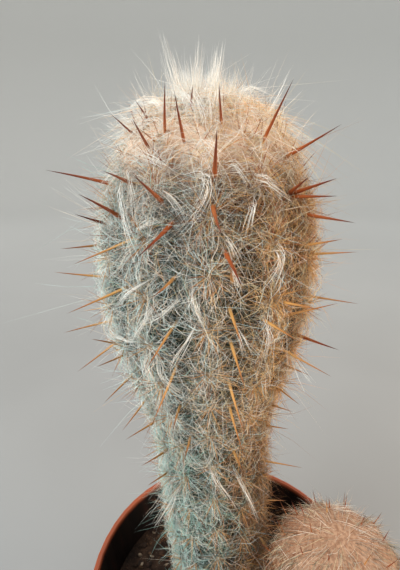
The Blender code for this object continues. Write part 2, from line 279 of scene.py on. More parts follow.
# %% [markdown]
# ## The shape of a stem
#
# Both stems are turned outlines whose wall is raised into ribs, the same formulas and values as the CAD
# solids have. A place on a stem is given by three numbers: how far along the outline it is, measured up the
# side from the soil and over the crown, its angle about the axis, and its lift above the outline. Hair and
# spines can then be planned on a flat sheet of those numbers and bent round the stem at the end.

# %% Stem values
SOIL_LEVEL = 0.104
CROWN_POWER = 2.4
RIB_START = 0.004
RIB_FADE = 0.014


@dataclass
class Stem:
    """One stem's outline, ribs and areoles, with the values that the CAD solid was made from."""

    name: str
    depth: float
    foot: tuple
    head: tuple
    lean: tuple
    radii: tuple
    neck: tuple
    swell: tuple
    apex: float
    ribs: int
    rib_depth: float
    tubercle: float
    areole_spacing: float


MAIN = Stem("main_stem", 0.040, (-0.005, 0.0), (-0.013, 0.0), (0.110, 0.300), (0.0212, 0.0242, 0.0405),
            (0.106, 0.195), (0.222, 0.304), 0.359, 12, 0.17, 0.0012, 0.018)
SHOOT = Stem("side_shoot", 0.018, (0.0410, -0.0225), (0.0460, -0.0260), (0.106, 0.165), (0.0160, 0.0190, 0.0295),
             (0.106, 0.126), (0.126, 0.160), 0.190, 11, 0.15, 0.0009, 0.0135)


# %% Outline of a stem
def side_radius(stem, height):
    """The radius below the crown: the foot's, softly stepped to the neck's and then to the head's."""
    foot, neck, head = stem.radii
    return foot + (neck - foot) * smooth(height, *stem.neck) + (head - neck) * smooth(height, *stem.swell)


def outline(stem, side_samples=900, crown_samples=500):
    """Radius, height and distance along: the side, then a crown that is a quarter of a superellipse."""
    side_z = np.linspace(SOIL_LEVEL - stem.depth, stem.swell[1], side_samples)
    turn = np.linspace(0.0, math.pi / 2.0, crown_samples)[1:]
    power = 2.0 / CROWN_POWER
    crown_r = stem.radii[2] * np.clip(np.cos(turn), 0.0, 1.0) ** power
    crown_z = stem.swell[1] + (stem.apex - stem.swell[1]) * np.sin(turn) ** power
    crown_r[-1] = 0.0
    radius = np.concatenate([side_radius(stem, side_z), crown_r])
    height = np.concatenate([side_z, crown_z])
    along = np.concatenate([[0.0], np.cumsum(np.hypot(np.diff(radius), np.diff(height)))])
    along = along - np.interp(SOIL_LEVEL, side_z, along[:side_samples])
    return radius, height, along


OUTLINES = {stem.name: outline(stem) for stem in (MAIN, SHOOT)}
LENGTHS = {name: line[2][-1] for name, line in OUTLINES.items()}
print("from soil to pole:", {name: round(length, 4) for name, length in LENGTHS.items()})


def along_at(stem, height):
    """How far along the outline a height is."""
    return float(np.interp(height, OUTLINES[stem.name][1], OUTLINES[stem.name][2]))


# %% Place on a stem
def axis_at(stem, height):
    """The leaning axis: from the foot's centre to the head's by a soft step of the height."""
    share = smooth(height, *stem.lean)[..., None]
    return np.asarray(stem.foot) + (np.asarray(stem.head) - np.asarray(stem.foot)) * share


def over_pole(stem, along, angle):
    """A place past the pole is the mirror place on the far side, half a turn on."""
    length = LENGTHS[stem.name]
    past = along > length
    return np.where(past, 2.0 * length - along, along), np.where(past, angle + math.pi, angle)


def slopes(stem, along):
    """The outline's direction at a distance along: its radial and its upward share."""
    radius, height, line = OUTLINES[stem.name]
    run = np.gradient(radius, line)
    climb = np.gradient(height, line)
    size = np.hypot(run, climb)
    return np.interp(along, line, run / size), np.interp(along, line, climb / size)


def on_stem(stem, along, angle, lift=0.0, follow=1.0):
    """A point: the outline's radius, cut in between ribs, turned by the angle, plus lift along the normal.
    follow is how much of the ribs' depth is kept, because taut hair bridges the furrows."""
    along, angle = over_pole(stem, along, angle)
    radius, height, line = OUTLINES[stem.name]
    run, climb = slopes(stem, along)
    crest = (1.0 + np.cos(stem.ribs * angle)) / 2.0
    ribbed = smooth(along, RIB_START, RIB_START + RIB_FADE)
    cut = follow * ribbed * stem.rib_depth * (1.0 - crest)
    z = np.interp(along, line, height) - lift * run
    r = np.interp(along, line, radius) * (1.0 - cut) + lift * climb
    centre = axis_at(stem, z)
    return np.stack([centre[..., 0] + r * np.cos(angle), centre[..., 1] + r * np.sin(angle), z], axis=-1)


def directions(stem, along, angle):
    """Three unit directions at a place: out of the surface, up along it, and round it."""
    along, angle = over_pole(stem, along, angle)
    run, climb = slopes(stem, along)
    cos, sin = np.cos(angle), np.sin(angle)
    out = np.stack([climb * cos, climb * sin, -run], axis=-1)
    up = np.stack([run * cos, run * sin, climb], axis=-1)
    side = np.stack([-sin, cos, np.zeros_like(sin)], axis=-1)
    return out, up, side


# %% Areoles
def areoles(stem, first=0.006):
    """Every areole's distance along and angle: rows a spacing apart on each crest, half a spacing off on
    every second crest."""
    last = LENGTHS[stem.name] - 0.006
    places = [
        (along, 2.0 * math.pi * rib / stem.ribs)
        for rib in range(stem.ribs)
        for along in np.arange(first + stem.areole_spacing * (0.5 * (rib % 2)), last, stem.areole_spacing)
    ]
    return np.array(places)


AREOLES = {stem.name: areoles(stem) for stem in (MAIN, SHOOT)}
print("areoles:", {name: len(places) for name, places in AREOLES.items()})


# %% Where a line of sight meets a stem
def outside(stem, points):
    """Roughly how far points are outside the smooth outline, in metres; less than 0 is inside."""
    away = points[..., :2] - axis_at(stem, points[..., 2])
    rho = np.hypot(away[..., 0], away[..., 1])
    below = rho - side_radius(stem, points[..., 2])
    rise = np.maximum(points[..., 2] - stem.swell[1], 0.0)
    crown_height = stem.apex - stem.swell[1]
    share = (rho / stem.radii[2]) ** CROWN_POWER + (rise / crown_height) ** CROWN_POWER
    crown = (share ** (1.0 / CROWN_POWER) - 1.0) * np.hypot(rho, rise) / np.maximum(share, 1e-9) ** (1.0 / CROWN_POWER)
    return np.where(points[..., 2] < stem.swell[1], below, crown)


def place_under(stem, points):
    """The distance along and the angle of the outline's place nearest to each point."""
    away = points[:, :2] - axis_at(stem, points[:, 2])
    rho = np.hypot(away[:, 0], away[:, 1])
    radius, height, line = OUTLINES[stem.name]
    nearest = np.argmin((rho[:, None] - radius) ** 2 + (points[:, 2:3] - height) ** 2, axis=1)
    return line[nearest], np.arctan2(away[:, 1], away[:, 0])


def seen_place(stem, pixels, lift=0.0):
    """Where the lines of sight first meet a stem's outline raised by lift, or pass nearest to it."""
    lines = sight_lines(pixels)
    reach = np.linspace(0.06, 0.42, 1500)
    points = CAMERA_PLACE + lines[:, None, :] * reach[None, :, None]
    gap = outside(stem, points) - lift
    inside = gap < 0.0
    first = np.where(inside.any(axis=1), np.argmax(inside, axis=1), np.argmin(gap, axis=1))
    return place_under(stem, points[np.arange(len(lines)), first])


def seen_tip(roots, pixels, length):
    """The point on each pixel's line of sight that is a length away from its root, on the near side.
    Where the whole line is further away than that, it is the line's nearest point."""
    lines = unit(sight_lines(pixels))
    to_root = roots - CAMERA_PLACE
    nearest = np.sum(to_root * lines, axis=1)
    apart = np.sum(to_root**2, axis=1) - nearest**2
    back = np.sqrt(np.maximum(np.broadcast_to(length, nearest.shape) ** 2 - apart, 0.0))
    return CAMERA_PLACE + lines * (nearest - back)[:, None]


# %% [markdown]
# ## Tubes for hairs and spines
#
# A hair is a path with a ring of three points round each of its points, drawn in to a tip. Particles and hair
# curves would be easier to comb, but they aren't mesh, so an export loses them. Thousands of tubes are made
# at once, as one array of shape (hairs, points, 3).
#
# All three walls of a hair share one thin strip of the UV map: U runs from root to tip, and V says which tone
# the hair has. The colour then follows the hair wherever it bends.

# %% Tubes along paths
TONE_BANDS = 99
BAND_FILL = 0.36


def tube_points(paths, widths, sides):
    """Rings round each path point, in the plane across the path, and each path's last point as its tip."""
    forward = unit(np.gradient(paths, axis=1))
    bend = np.cross(forward[:, 0], forward[:, -1])
    spare = np.cross(forward[:, 0], np.array([0.31, 0.57, 0.76]))
    side = unit(bend + 0.08 * unit(spare))[:, None, :]
    first = unit(side - np.sum(side * forward, axis=2, keepdims=True) * forward)
    second = np.cross(forward, first)
    turn = 2.0 * math.pi * np.arange(sides) / sides
    ring = first[:, :, None, :] * np.cos(turn)[:, None] + second[:, :, None, :] * np.sin(turn)[:, None]
    return paths[:, :-1, None, :] + ring[:, :-1] * widths[:, :-1, None, None] / 2.0


def tube_piece(name, paths, widths, tones, sides=3):
    """One object of closed tapered tubes. widths is (hairs, points), tones is a share from 0 to 1 each."""
    hairs, count = paths.shape[:2]
    rings = count - 1
    ring_points = tube_points(paths, widths, sides).reshape(hairs, rings * sides, 3)
    points = np.concatenate([ring_points, paths[:, -1:, :]], axis=1)
    per_hair = rings * sides + 1
    ring = np.arange(rings - 1)[:, None] * sides
    left = np.arange(sides)[None, :]
    right = (left + 1) % sides
    walls = np.stack([ring + left, ring + right, ring + sides + right, ring + sides + left], axis=-1).reshape(-1, 4)
    top = (rings - 1) * sides
    tips = np.stack([top + left[0], top + right[0], np.full(sides, per_hair - 1)], axis=-1)
    root = np.arange(sides)[::-1][None, :]
    shift = (np.arange(hairs) * per_hair)[:, None, None]
    faces = [(part[None] + shift).reshape(-1, part.shape[1]) for part in (walls, tips, root)]
    band = (np.clip(np.floor(tones * TONE_BANDS), 0, TONE_BANDS - 1) + 0.5) / TONE_BANDS
    half = BAND_FILL / TONE_BANDS
    u = 0.02 + 0.96 * np.arange(count) / (count - 1)
    wall_u = np.repeat(np.stack([u[:-2], u[:-2], u[1:-1], u[1:-1]], axis=-1), sides, axis=0)
    wall_v = np.tile([-half, half, half, -half], (len(walls), 1))
    tip_u = np.tile([u[-2], u[-2], u[-1]], (sides, 1))
    tip_v = np.tile([-half, half, 0.0], (sides, 1))
    turn = 2.0 * math.pi * np.arange(sides)[None, :] / sides
    root_u = 0.011 + 0.008 * np.cos(turn)
    root_v = -half * np.sin(turn)
    uvs = []
    for part_u, part_v in ((wall_u, wall_v), (tip_u, tip_v), (root_u, root_v)):
        part = np.empty((hairs, *part_u.shape, 2))
        part[..., 0] = part_u
        part[..., 1] = part_v + band[:, None, None]
        uvs.append(part)
    return mesh_object(name, points.reshape(-1, 3), faces, uvs)


# %% [markdown]
# ## Ways for a hair to run
#
# Two kinds of path are enough. A lying hair walks over the stem with a heading that slowly turns, at a height
# that rises and falls. A standing hair leaves the stem, bends, and curls a little.

# %% Lying and standing paths
def lying_paths(stem, along, angle, heading, length, turn, rise, end_lift, points, follow=0.35, rng=None):
    """Each hair's heading is its first one plus a steady turn and a small wave. Its lift is a low hump, a
    sine of its length, plus a share that grows with the square of the length towards its tip."""
    t = np.linspace(0.0, 1.0, points)[None, :]
    wave = rng.normal(0.0, 0.14, (len(along), 1))
    phase = rng.uniform(0.0, 2.0 * math.pi, (len(along), 1))
    facing = heading[:, None] + turn[:, None] * t + wave * np.sin(5.0 * t + phase)
    step = length[:, None] / (points - 1)
    walk = np.cumsum(step * np.cos(facing), axis=1)
    side = np.cumsum(step * np.sin(facing), axis=1)
    s = along[:, None] + walk - walk[:, :1]
    radius, _, line = OUTLINES[stem.name]
    near = np.maximum(np.interp(over_pole(stem, s, s)[0], line, radius), 0.010)
    a = angle[:, None] + (side - side[:, :1]) / near
    lift = -0.0012 + 0.0012 * smooth(t, 0.0, 0.25) + rise[:, None] * np.sin(math.pi * t) ** 0.8
    lift = lift + end_lift[:, None] * t**2
    return on_stem(stem, np.maximum(s, 0.001), a, lift, follow), s, a


def standing_paths(roots, heading, length, bend, curl, points, rng):
    """Each hair runs out along its heading, bends by the square of its length, and waves sideways."""
    t = np.linspace(0.0, 1.0, points)[None, :, None]
    across = unit(np.cross(heading, rng.normal(0.0, 1.0, heading.shape)))
    other = np.cross(unit(heading), across)
    phase = rng.uniform(0.0, 2.0 * math.pi, (len(roots), 1, 1))
    rate = rng.uniform(4.0, 8.0, (len(roots), 1, 1))
    size = (curl * length)[:, None, None]
    wave = across[:, None, :] * (np.sin(rate * t + phase) - np.sin(phase))
    wave = wave + other[:, None, :] * (np.cos(rate * t + phase) - np.cos(phase))
    run = length[:, None, None]
    return roots[:, None, :] + heading[:, None, :] * run * t + bend[:, None, :] * run * t**2 + wave * size * t


def hair_widths(count, points, width, rng, thin=0.35):
    """A hair's thickness: full to a third of the way, then drawn out to a thin tip."""
    t = np.linspace(0.0, 1.0, points)[None, :]
    shape = 1.0 - (1.0 - thin) * smooth(t, 0.3, 1.0)
    return width * shape * rng.uniform(0.75, 1.3, (count, 1))


# %% [markdown]
# ## The tones of the wool
#
# Wool isn't one white. In the photograph it is cool on the left, where it faces the window, cream and a little pink on
# the crown, golden on the right, and peach low on the right and on the side shoot. The cool tint on the left is
# painted window light. The gold, peach and rust on the right are partly the wool's own tan and partly painted warm
# lamp light. Each hair draws one of eight tones by where it grows, with some chance in it, and its own brightness.

# %% Tones by place
TONES = ("shade", "rust", "teal", "cool", "white", "cream", "straw", "gold", "peach")
TONE_COLOURS = {
    "shade": paint(118, 124, 106),
    "rust": paint(164, 98, 58),
    "teal": paint(184, 226, 212),
    "cool": paint(222, 240, 236),
    "white": paint(250, 246, 238),
    "cream": paint(253, 233, 212),
    "straw": paint(236, 216, 176),
    "gold": paint(242, 190, 126),
    "peach": paint(242, 178, 132),
}


def zones(stem, roots):
    """Five soft masks for each root: the stem's left and right side, its crown, the brow below the crown's
    edge, and the low part."""
    centre = axis_at(stem, roots[:, 2])
    reach = np.interp(roots[:, 2], OUTLINES[stem.name][1], OUTLINES[stem.name][0]) + 0.004
    side = (roots[:, 0] - centre[:, 0]) / np.maximum(reach, 0.015)
    left = smooth(-side, -0.25, 0.85)
    right = smooth(side, -0.15, 0.75)
    crown = smooth(roots[:, 2], 0.330, 0.352)
    brow = smooth(roots[:, 2], 0.318, 0.334) * (1.0 - smooth(roots[:, 2], 0.344, 0.357))
    low = 1.0 - smooth(roots[:, 2], 0.190, 0.270)
    return left, right, crown, brow, low


def tone_weights(stem, roots):
    """How likely each tone is at each root. On the main stem this comes from the masks. On the shoot it comes from how
    far the root is from the main stem, and the extra rust and shade close to the main stem are a painted shadow cast
    by it.
    """
    left, right, crown, brow, low = zones(stem, roots)
    # Teal and cool weighted to the left are painted cool window light. Gold, peach and rust on the right are partly
    # the wool's own tan and partly painted warm lamp light.
    weights = {
        "shade": (0.20 + 0.3 * low) * (1.0 - crown) * (1.0 - 0.8 * left),
        "rust": (0.04 + 0.25 * right + 0.5 * right * low + 0.4 * brow) * (1.0 - 0.85 * left) * (1.0 - 0.9 * crown),
        "teal": left * (0.20 + 1.5 * low) * (1.0 - crown) + 0.40 * low * (1.0 - right),
        "cool": 0.12 + left * (0.9 - 0.75 * crown) + 0.25 * low * (1.0 - right),
        "white": (0.30 + 0.6 * left) * (1.0 - 0.5 * right) + (0.6 + 0.5 * left) * crown,
        "cream": 0.30 * (1.0 - 0.5 * right) + 1.2 * crown + 0.2 * left,
        "straw": 0.24 + 0.3 * right - 0.16 * left + (0.25 + 0.5 * right) * crown - 0.14 * low * (1.0 - right),
        "gold": 0.06 + right * (1.3 - 0.4 * low) * (1.0 - 0.75 * crown) + (0.12 + 0.3 * right) * crown,
        "peach": 0.02 + right * (0.35 + 1.1 * low) * (1.0 - 0.75 * crown) + 0.08 * crown,
    }
    table = np.stack([np.maximum(weights[tone], 0.0) for tone in TONES], axis=1)
    if stem is SHOOT:
        # On the shoot, more rust and shade near the main stem: painted shadow cast by the main stem.
        far = smooth(roots[:, 0], 0.022, 0.052)
        shares = {"cream": 0.3 + 1.0 * far, "straw": 0.5, "peach": 0.6 - 0.3 * far, "rust": 0.9 - 0.8 * far,
                  "shade": 0.5 - 0.3 * far}
        table = np.stack([shares.get(tone, 0.0) + 0.0 * far for tone in TONES], axis=1)
    return table / table.sum(axis=1, keepdims=True)


def draw_tones(stem, roots, rng, bright=(0.35, 1.0)):
    """A tone for each root, drawn by its weights, as a share of the UV map's height. The brightness is painted light:
    it is lifted on the left and high on the right, where the light falls. It is lowered low on the right as painted
    shade, and lowered on the brow."""
    table = np.cumsum(tone_weights(stem, roots), axis=1)
    pick = (rng.random((len(roots), 1)) > table).sum(axis=1).clip(0, len(TONES) - 1)
    level = rng.uniform(*bright, len(roots))
    left, right, crown, brow, low = zones(stem, roots)
    # Painted light and shade: brighter where the lamps fall, darker low on the right.
    lifted = 0.55 * left * (1.0 - 0.3 * low) + 0.60 * right * (1.0 - low)
    level = (level + (1.0 - level) * lifted) * (1.0 - 0.70 * right * low) * (1.0 - 0.40 * brow)
    return (pick + 0.02 + 0.96 * level.clip(0.0, 0.999)) / len(TONES)


def only_tone(tone, count, rng, bright=(0.6, 1.0)):
    """The same tone for a number of hairs, each with its own brightness."""
    level = rng.uniform(*bright, count)
    return (TONES.index(tone) + 0.02 + 0.96 * level.clip(0.0, 0.999)) / len(TONES)


# %% [markdown]
# ## Finishes for wool and spines
#
# Wool is matt and scatters light, so it is rough, with a faint sheen. Its colour reads only the hair's own strip of
# UV: the tone, the brightness inside the tone, and a painted shade that darkens the root where the hair leaves the
# skin.
# Spines are smooth horn: orange at the foot, red-brown along most of their length and nearly black at the
# point, with fine streaks lengthwise.

# %% Wool finish
def wool_finish(name, root_shade, dimmest):
    """A hair's colour: its tone's stop times its brightness step, and darker towards the root as painted shade."""
    finish = Finish(name, Roughness=0.62, Specular_IOR_Level=0.25)
    uv = finish.add("ShaderNodeUVMap", {"uv_map": "OFBake"})
    run = finish.add("ShaderNodeSeparateXYZ", None, {0: uv}, output=0)
    tone = finish.add("ShaderNodeSeparateXYZ", None, {0: uv}, output=1)
    stops = [((index + 0.0) / len(TONES), TONE_COLOURS[tone_name]) for index, tone_name in enumerate(TONES)]
    colour = finish.add("ShaderNodeValToRGB", {"stops": stops}, {"Fac": tone})
    colour.socket.node.color_ramp.interpolation = "CONSTANT"
    level = (tone * float(len(TONES))).part()
    dim = (dimmest + (1.0 - dimmest) * level) * (root_shade + (1.0 - root_shade) * finish.step(run, 0.0, 0.35))
    shaded = finish.mix(1.0, colour, finish.add("ShaderNodeCombineColor", None, {0: dim, 1: dim, 2: dim}), "MULTIPLY")
    finish.drive("Base Color", shaded)
    finish.drive("Roughness", 0.55 + 0.2 * level)
    return finish.material


WOOL = wool_finish("wool", 0.60, 0.22)
CROWN_WOOL = wool_finish("crown_wool", 0.92, 0.62)
SHOOT_WOOL = wool_finish("shoot_wool", 0.60, 0.34)


# %% Spine finish
def spine_finish():
    """Horn: V picks amber to red-brown, U runs from a pale foot to a dark point, streaks run lengthwise."""
    finish = Finish("spine_horn", Roughness=0.42, Specular_IOR_Level=0.3)
    uv = finish.add("ShaderNodeUVMap", {"uv_map": "OFBake"})
    run = finish.add("ShaderNodeSeparateXYZ", None, {0: uv}, output=0)
    tone = finish.add("ShaderNodeSeparateXYZ", None, {0: uv}, output=1)
    amber = finish.ramp(run, [(0.0, paint(216, 172, 112)), (0.35, paint(200, 148, 86)), (0.75, paint(156, 98, 54)),
                              (1.0, paint(92, 58, 40))])
    red = finish.ramp(run, [(0.0, paint(204, 134, 68)), (0.2, paint(166, 84, 38)), (0.7, paint(116, 50, 24)),
                            (1.0, paint(50, 28, 24))])
    colour = finish.mix(finish.step(tone, 0.25, 0.75), amber, red)
    streaks = finish.noise(finish.stretch(uv, (6.0, 500.0, 1.0)), 1.0, 4.0)
    dim = 0.78 + 0.44 * streaks
    shaded = finish.mix(1.0, colour, finish.add("ShaderNodeCombineColor", None, {0: dim, 1: dim, 2: dim}), "MULTIPLY")
    finish.drive("Base Color", shaded)
    finish.drive("Roughness", 0.36 + 0.25 * streaks)
    return finish.material


HORN = spine_finish()


# %% [markdown]
# ## The green bodies
#
# Under the wool each stem is a grey-green column with rounded ribs and a small bump, or tubercle, under each
# areole. The body is a grid: rows along the outline, columns round it. It lies a little inside the CAD skin,
# because the CAD solid stands for the body and the close wool on it. The crown's skin is felted cream, so that
# no green shows between the hairs there.

# %% Body grid
BODY_INSET = 0.0014
FELT_REACH = 0.048
FELT_HEIGHTS = {"main_stem": 0.0058, "side_shoot": 0.0030}


def felt_share(stem, along):
    """How far the crown's felt has risen: a soft step towards the pole, the same on its far side."""
    length = LENGTHS[stem.name]
    near = np.where(along > length, 2.0 * length - along, along)
    return smooth(near, length - FELT_REACH, length - 0.4 * FELT_REACH)


def felt_height(stem, along):
    """How high the felt stands over the outline, in metres."""
    return FELT_HEIGHTS[stem.name] * felt_share(stem, along)


def skin_lift(stem, along):
    """The skin's height over the outline: the inset below it, raised by the felt."""
    return -BODY_INSET + felt_height(stem, along)


def seen_on_felt(stem, pixels, lift=0.0):
    """Where the lines of sight meet the felt: found on the outline first, then again on the felt there. Gives
    the distance along, the angle and the felt's height."""
    felt = felt_height(stem, seen_place(stem, pixels, lift)[0])
    along, angle = seen_place(stem, pixels, (felt + lift)[:, None])
    return along, angle, felt


def body_piece(stem, rows, columns):
    """Rows of points by on_stem, less the inset, plus bumps: the crest times a cosine along the rib."""
    length = LENGTHS[stem.name]
    start = OUTLINES[stem.name][2][0]
    along = start + (length - start) * np.linspace(0.0, 1.0, rows + 1)[:-1, None]
    angle = 2.0 * math.pi * np.arange(columns)[None, :] / columns
    crest = ((1.0 + np.cos(stem.ribs * angle)) / 2.0) ** 2
    wave = np.cos(2.0 * math.pi * (along - 0.006) / stem.areole_spacing + stem.ribs * angle / 2.0)
    level = smooth(along, 0.0, RIB_FADE) * (1.0 - smooth(along, length - 0.03, length - 0.008))
    notch = -0.0006 * crest * smooth(-wave, 0.75, 1.0)
    lift = skin_lift(stem, along) + level * (stem.tubercle * crest * wave + notch)
    follow = 1.0 - 0.8 * felt_share(stem, along)
    ring = on_stem(stem, along + 0.0 * angle, angle + 0.0 * along, lift, follow).reshape(-1, 3)
    foot = on_stem(stem, np.array([start]), np.array([0.0]), 0.0)
    foot[:, :2] = axis_at(stem, foot[:, 2])
    pole = on_stem(stem, np.array([length]), np.array([0.0]), skin_lift(stem, length))
    pole[:, :2] = axis_at(stem, pole[:, 2])
    points = np.concatenate([ring, foot, pole])
    row = np.arange(rows - 1)[:, None] * columns
    left = np.arange(columns)[None, :]
    right = (left + 1) % columns
    walls = np.stack([row + left, row + right, row + columns + right, row + columns + left], axis=-1).reshape(-1, 4)
    top = (rows - 1) * columns
    crown = np.stack([top + left[0], top + right[0], np.full(columns, rows * columns + 1)], axis=-1)
    base = np.stack([right[0], left[0], np.full(columns, rows * columns)], axis=-1)
    return mesh_object(stem.name + "_body", points, [walls, crown, base])


def threads(finish, place, scale, width):
    """Thin curved lines: 1 where cloudy noise is within a width of its middle value, as on a contour map."""
    field = finish.noise(place, scale, 1.5, 0.45)
    return 1.0 - finish.step((field - 0.5).sum("ABSOLUTE"), width * 0.4, width)


def body_finish(name, felt_from, felt_to, felt, lamp_glow_from, lamp_glow_to):
    """Grey-green skin, mottled at three scales, turning to felt above a height. The green is painted far darker than
    bare skin, as painted shade under the wool. Its threads of hair are painted dim, as painted shade deep in the web.
    Towards +X it turns brown, as painted warm lamp light.
    """
    finish = Finish(name, Roughness=0.6, Specular_IOR_Level=0.35)
    place = finish.place()
    height = finish.add("ShaderNodeSeparateXYZ", None, {0: place}, output=2)
    clouds = finish.noise(place, 60.0, 4.0)
    grain = finish.noise(place, 700.0, 3.0)
    # The green ramp is painted shade: far darker than bare skin, because the skin lies in the shade of the wool.
    green = finish.ramp(clouds, [(0.30, paint(13, 24, 18)), (0.50, paint(22, 38, 29)), (0.70, paint(36, 57, 44))])
    # Towards +X the skin turns brown: painted warm lamp light on the stem's right side.
    painted_lamp_glow = finish.step(finish.add("ShaderNodeSeparateXYZ", None, {0: place}, output=0) + 0.010 * clouds, lamp_glow_from, lamp_glow_to)
    green = finish.mix(0.8 * painted_lamp_glow, green, paint(66, 38, 26))
    fine_web = threads(finish, place, 210.0, 0.012) + threads(finish, place, 330.0, 0.016)
    fine_web = fine_web + threads(finish, place, 470.0, 0.020)
    # The threads are pale hair painted into the skin, dimmed as painted shade deep in the web.
    bloom = finish.mix(0.26 * finish.step(fine_web, 0.0, 1.0), green, paint(132, 136, 116))
    edge = height + 0.012 * (clouds - 0.5)
    crown = finish.step(edge, felt_from, felt_to)
    rim = finish.mix(finish.step(edge, felt_to - 0.006, felt_to + 0.006), paint(146, 104, 76), felt)
    wool = finish.mix(0.5 * finish.step(grain, 0.35, 0.65), rim, paint(196, 158, 128))
    finish.drive("Base Color", finish.mix(crown, bloom, wool))
    finish.drive("Roughness", 0.55 + 0.35 * crown)
    finish.bump(grain, 0.0004, 0.6)
    return finish.material


# The last two values are where the painted warm lamp light on the right side begins and where it is full.
MAIN_SKIN = body_finish("main_skin", 0.330, 0.345, paint(216, 188, 164), -0.010, 0.018)
SHOOT_SKIN = body_finish("shoot_skin", 0.150, 0.170, paint(142, 106, 82), 0.0, 0.03)
fit_piece(body_piece(MAIN, 130, 96), MAIN_SKIN, ["main_stem"])
fit_piece(body_piece(SHOOT, 48, 66), SHOOT_SKIN, ["side_shoot"])


# %% [markdown]
# ## Areole cushions
#
# Spines and hair grow from felted cushions a few millimetres across. Each is a low dome of a few dozen faces,
# a disc of rings lifted by a cosine and set into the rib's crest.

# %% Cushions
def cushions(stem, size, rng):
    """Low domes: rings of a disc, each point's lift a cosine of its distance from the middle."""
    places = AREOLES[stem.name]
    rings = np.array([0.0, 0.45, 0.8, 1.0])
    spokes = 9
    turn = 2.0 * math.pi * np.arange(spokes) / spokes
    u = np.concatenate([[0.0], (rings[1:, None] * np.cos(turn)).ravel()])
    v = np.concatenate([[0.0], (rings[1:, None] * np.sin(turn)).ravel()])
    far = np.concatenate([[0.0], np.repeat(rings[1:], spokes)])
    scale = size * rng.uniform(0.8, 1.2, (len(places), 1))
    along = places[:, :1] + 1.25 * scale * u
    radius = np.interp(places[:, 0], OUTLINES[stem.name][2], OUTLINES[stem.name][0])[:, None]
    angle = places[:, 1:] + scale * v / np.maximum(radius, 0.006)
    rough = rng.uniform(0.85, 1.15, along.shape)
    lift = -BODY_INSET + stem.tubercle * 0.8 + scale * 0.55 * np.cos(far * math.pi / 2.0) * rough - 0.0004
    lift = np.where(far > 0.99, -BODY_INSET - 0.0012, lift)
    dome = on_stem(stem, along, angle, lift)
    inner = on_stem(stem, places[:, :1], places[:, 1:], np.full((len(places), 1), -BODY_INSET - 0.0022))
    points = np.concatenate([dome, inner], axis=1)
    left = np.arange(spokes)
    right = (left + 1) % spokes
    middle = np.stack([np.zeros(spokes, int), 1 + right, 1 + left], axis=-1)
    bands = np.concatenate([
        np.stack([1 + ring + left, 1 + ring + right, 1 + ring + spokes + right, 1 + ring + spokes + left], axis=-1)
        for ring in (0, spokes)
    ])
    under = np.stack([1 + 2 * spokes + left, 1 + 2 * spokes + right, np.full(spokes, 1 + 3 * spokes)], axis=-1)
    shift = (np.arange(len(places)) * points.shape[1])[:, None, None]
    faces = [(part[None] + shift).reshape(-1, part.shape[1]) for part in (middle, bands, under)]
    return mesh_object(stem.name + "_cushions", points.reshape(-1, 3), faces)


def felt_finish():
    """Dense cream felt, browner in places, with a fine fibrous bump."""
    finish = Finish("areole_felt", Roughness=0.95, Specular_IOR_Level=0.1)
    place = finish.place()
    grain = finish.noise(place, 1500.0, 4.0)
    patches = finish.noise(place, 90.0, 2.0)
    colour = finish.ramp(patches, [(0.35, paint(118, 92, 66)), (0.5, paint(150, 126, 96)), (0.65, paint(176, 158, 132))])
    finish.drive("Base Color", finish.mix(0.4 * grain, colour, paint(150, 110, 74)))
    finish.drive("Roughness", 0.85 + 0.15 * grain)
    finish.bump(grain, 0.0003, 0.8)
    return finish.material


FELT = felt_finish()
fit_piece(cushions(MAIN, 0.0016, np.random.default_rng(31)), FELT)
fit_piece(cushions(SHOOT, 0.0013, np.random.default_rng(32)), FELT)


# %% [markdown]
# ## Spines that the photograph shows
#
# Where a spine can be seen, its foot and its point are read off the photograph as pixels. The foot is where that line
# of sight meets the stem. A picture can't say how far a point stands towards the camera, but spines of one age have
# one length, so the point is put on its own line of sight at that length.

# %% Seen spines, each as foot and point in pixels
RED_SPINES = (
    ((292, 152), (342, 124)), ((268, 137), (294, 78)), ((224, 119), (219, 82)), ((215, 174), (217, 128)),
    ((180, 137), (174, 90)), ((162, 126), (165, 80)), ((139, 143), (132, 118)), ((137, 109), (135, 100)),
    ((116, 119), (111, 114)), ((107, 183), (45, 170)), ((123, 183), (103, 171)), ((170, 220), (137, 258)),
    ((114, 220), (78, 194)), ((96, 226), (74, 214)), ((159, 202), (133, 175)), ((213, 202), (222, 235)),
    ((225, 250), (242, 287)), ((297, 194), (309, 177)), ((297, 194), (338, 178)), ((297, 194), (338, 196)),
    ((307, 212), (356, 223)), ((190, 104), (193, 84)), ((305, 337), (339, 350)),
)
AMBER_SPINES = (
    ((123, 239), (72, 265)), ((306, 247), (343, 239)), ((312, 255), (358, 252)), ((117, 289), (66, 314)),
    ((92, 280), (53, 272)), ((102, 324), (63, 333)), ((115, 337), (77, 372)), ((123, 350), (91, 339)),
    ((117, 357), (96, 367)), ((127, 374), (104, 403)), ((143, 395), (122, 431)), ((152, 421), (125, 440)),
    ((172, 327), (145, 371)), ((171, 280), (152, 298)), ((173, 371), (151, 427)), ((177, 411), (173, 430)),
    ((188, 441), (184, 461)), ((232, 310), (244, 350)), ((233, 344), (246, 391)), ((231, 385), (246, 438)),
    ((232, 409), (244, 455)), ((236, 455), (244, 475)), ((311, 296), (359, 304)), ((287, 324), (339, 303)),
    ((285, 305), (322, 310)), ((285, 350), (332, 377)), ((288, 366), (311, 376)), ((280, 386), (300, 405)),
    ((277, 409), (293, 412)), ((275, 430), (289, 429)), ((278, 463), (303, 468)), ((164, 451), (141, 466)),
    ((166, 472), (147, 486)), ((93, 243), (60, 249)), ((238, 290), (231, 268)), ((266, 322), (300, 342)),
)
SHOOT_SPINES = (((311, 506), (308, 526)), ((329, 503), (329, 497)), ((296, 512), (291, 500)))
RED_LENGTH = 0.0235
AMBER_LENGTH = 0.0195
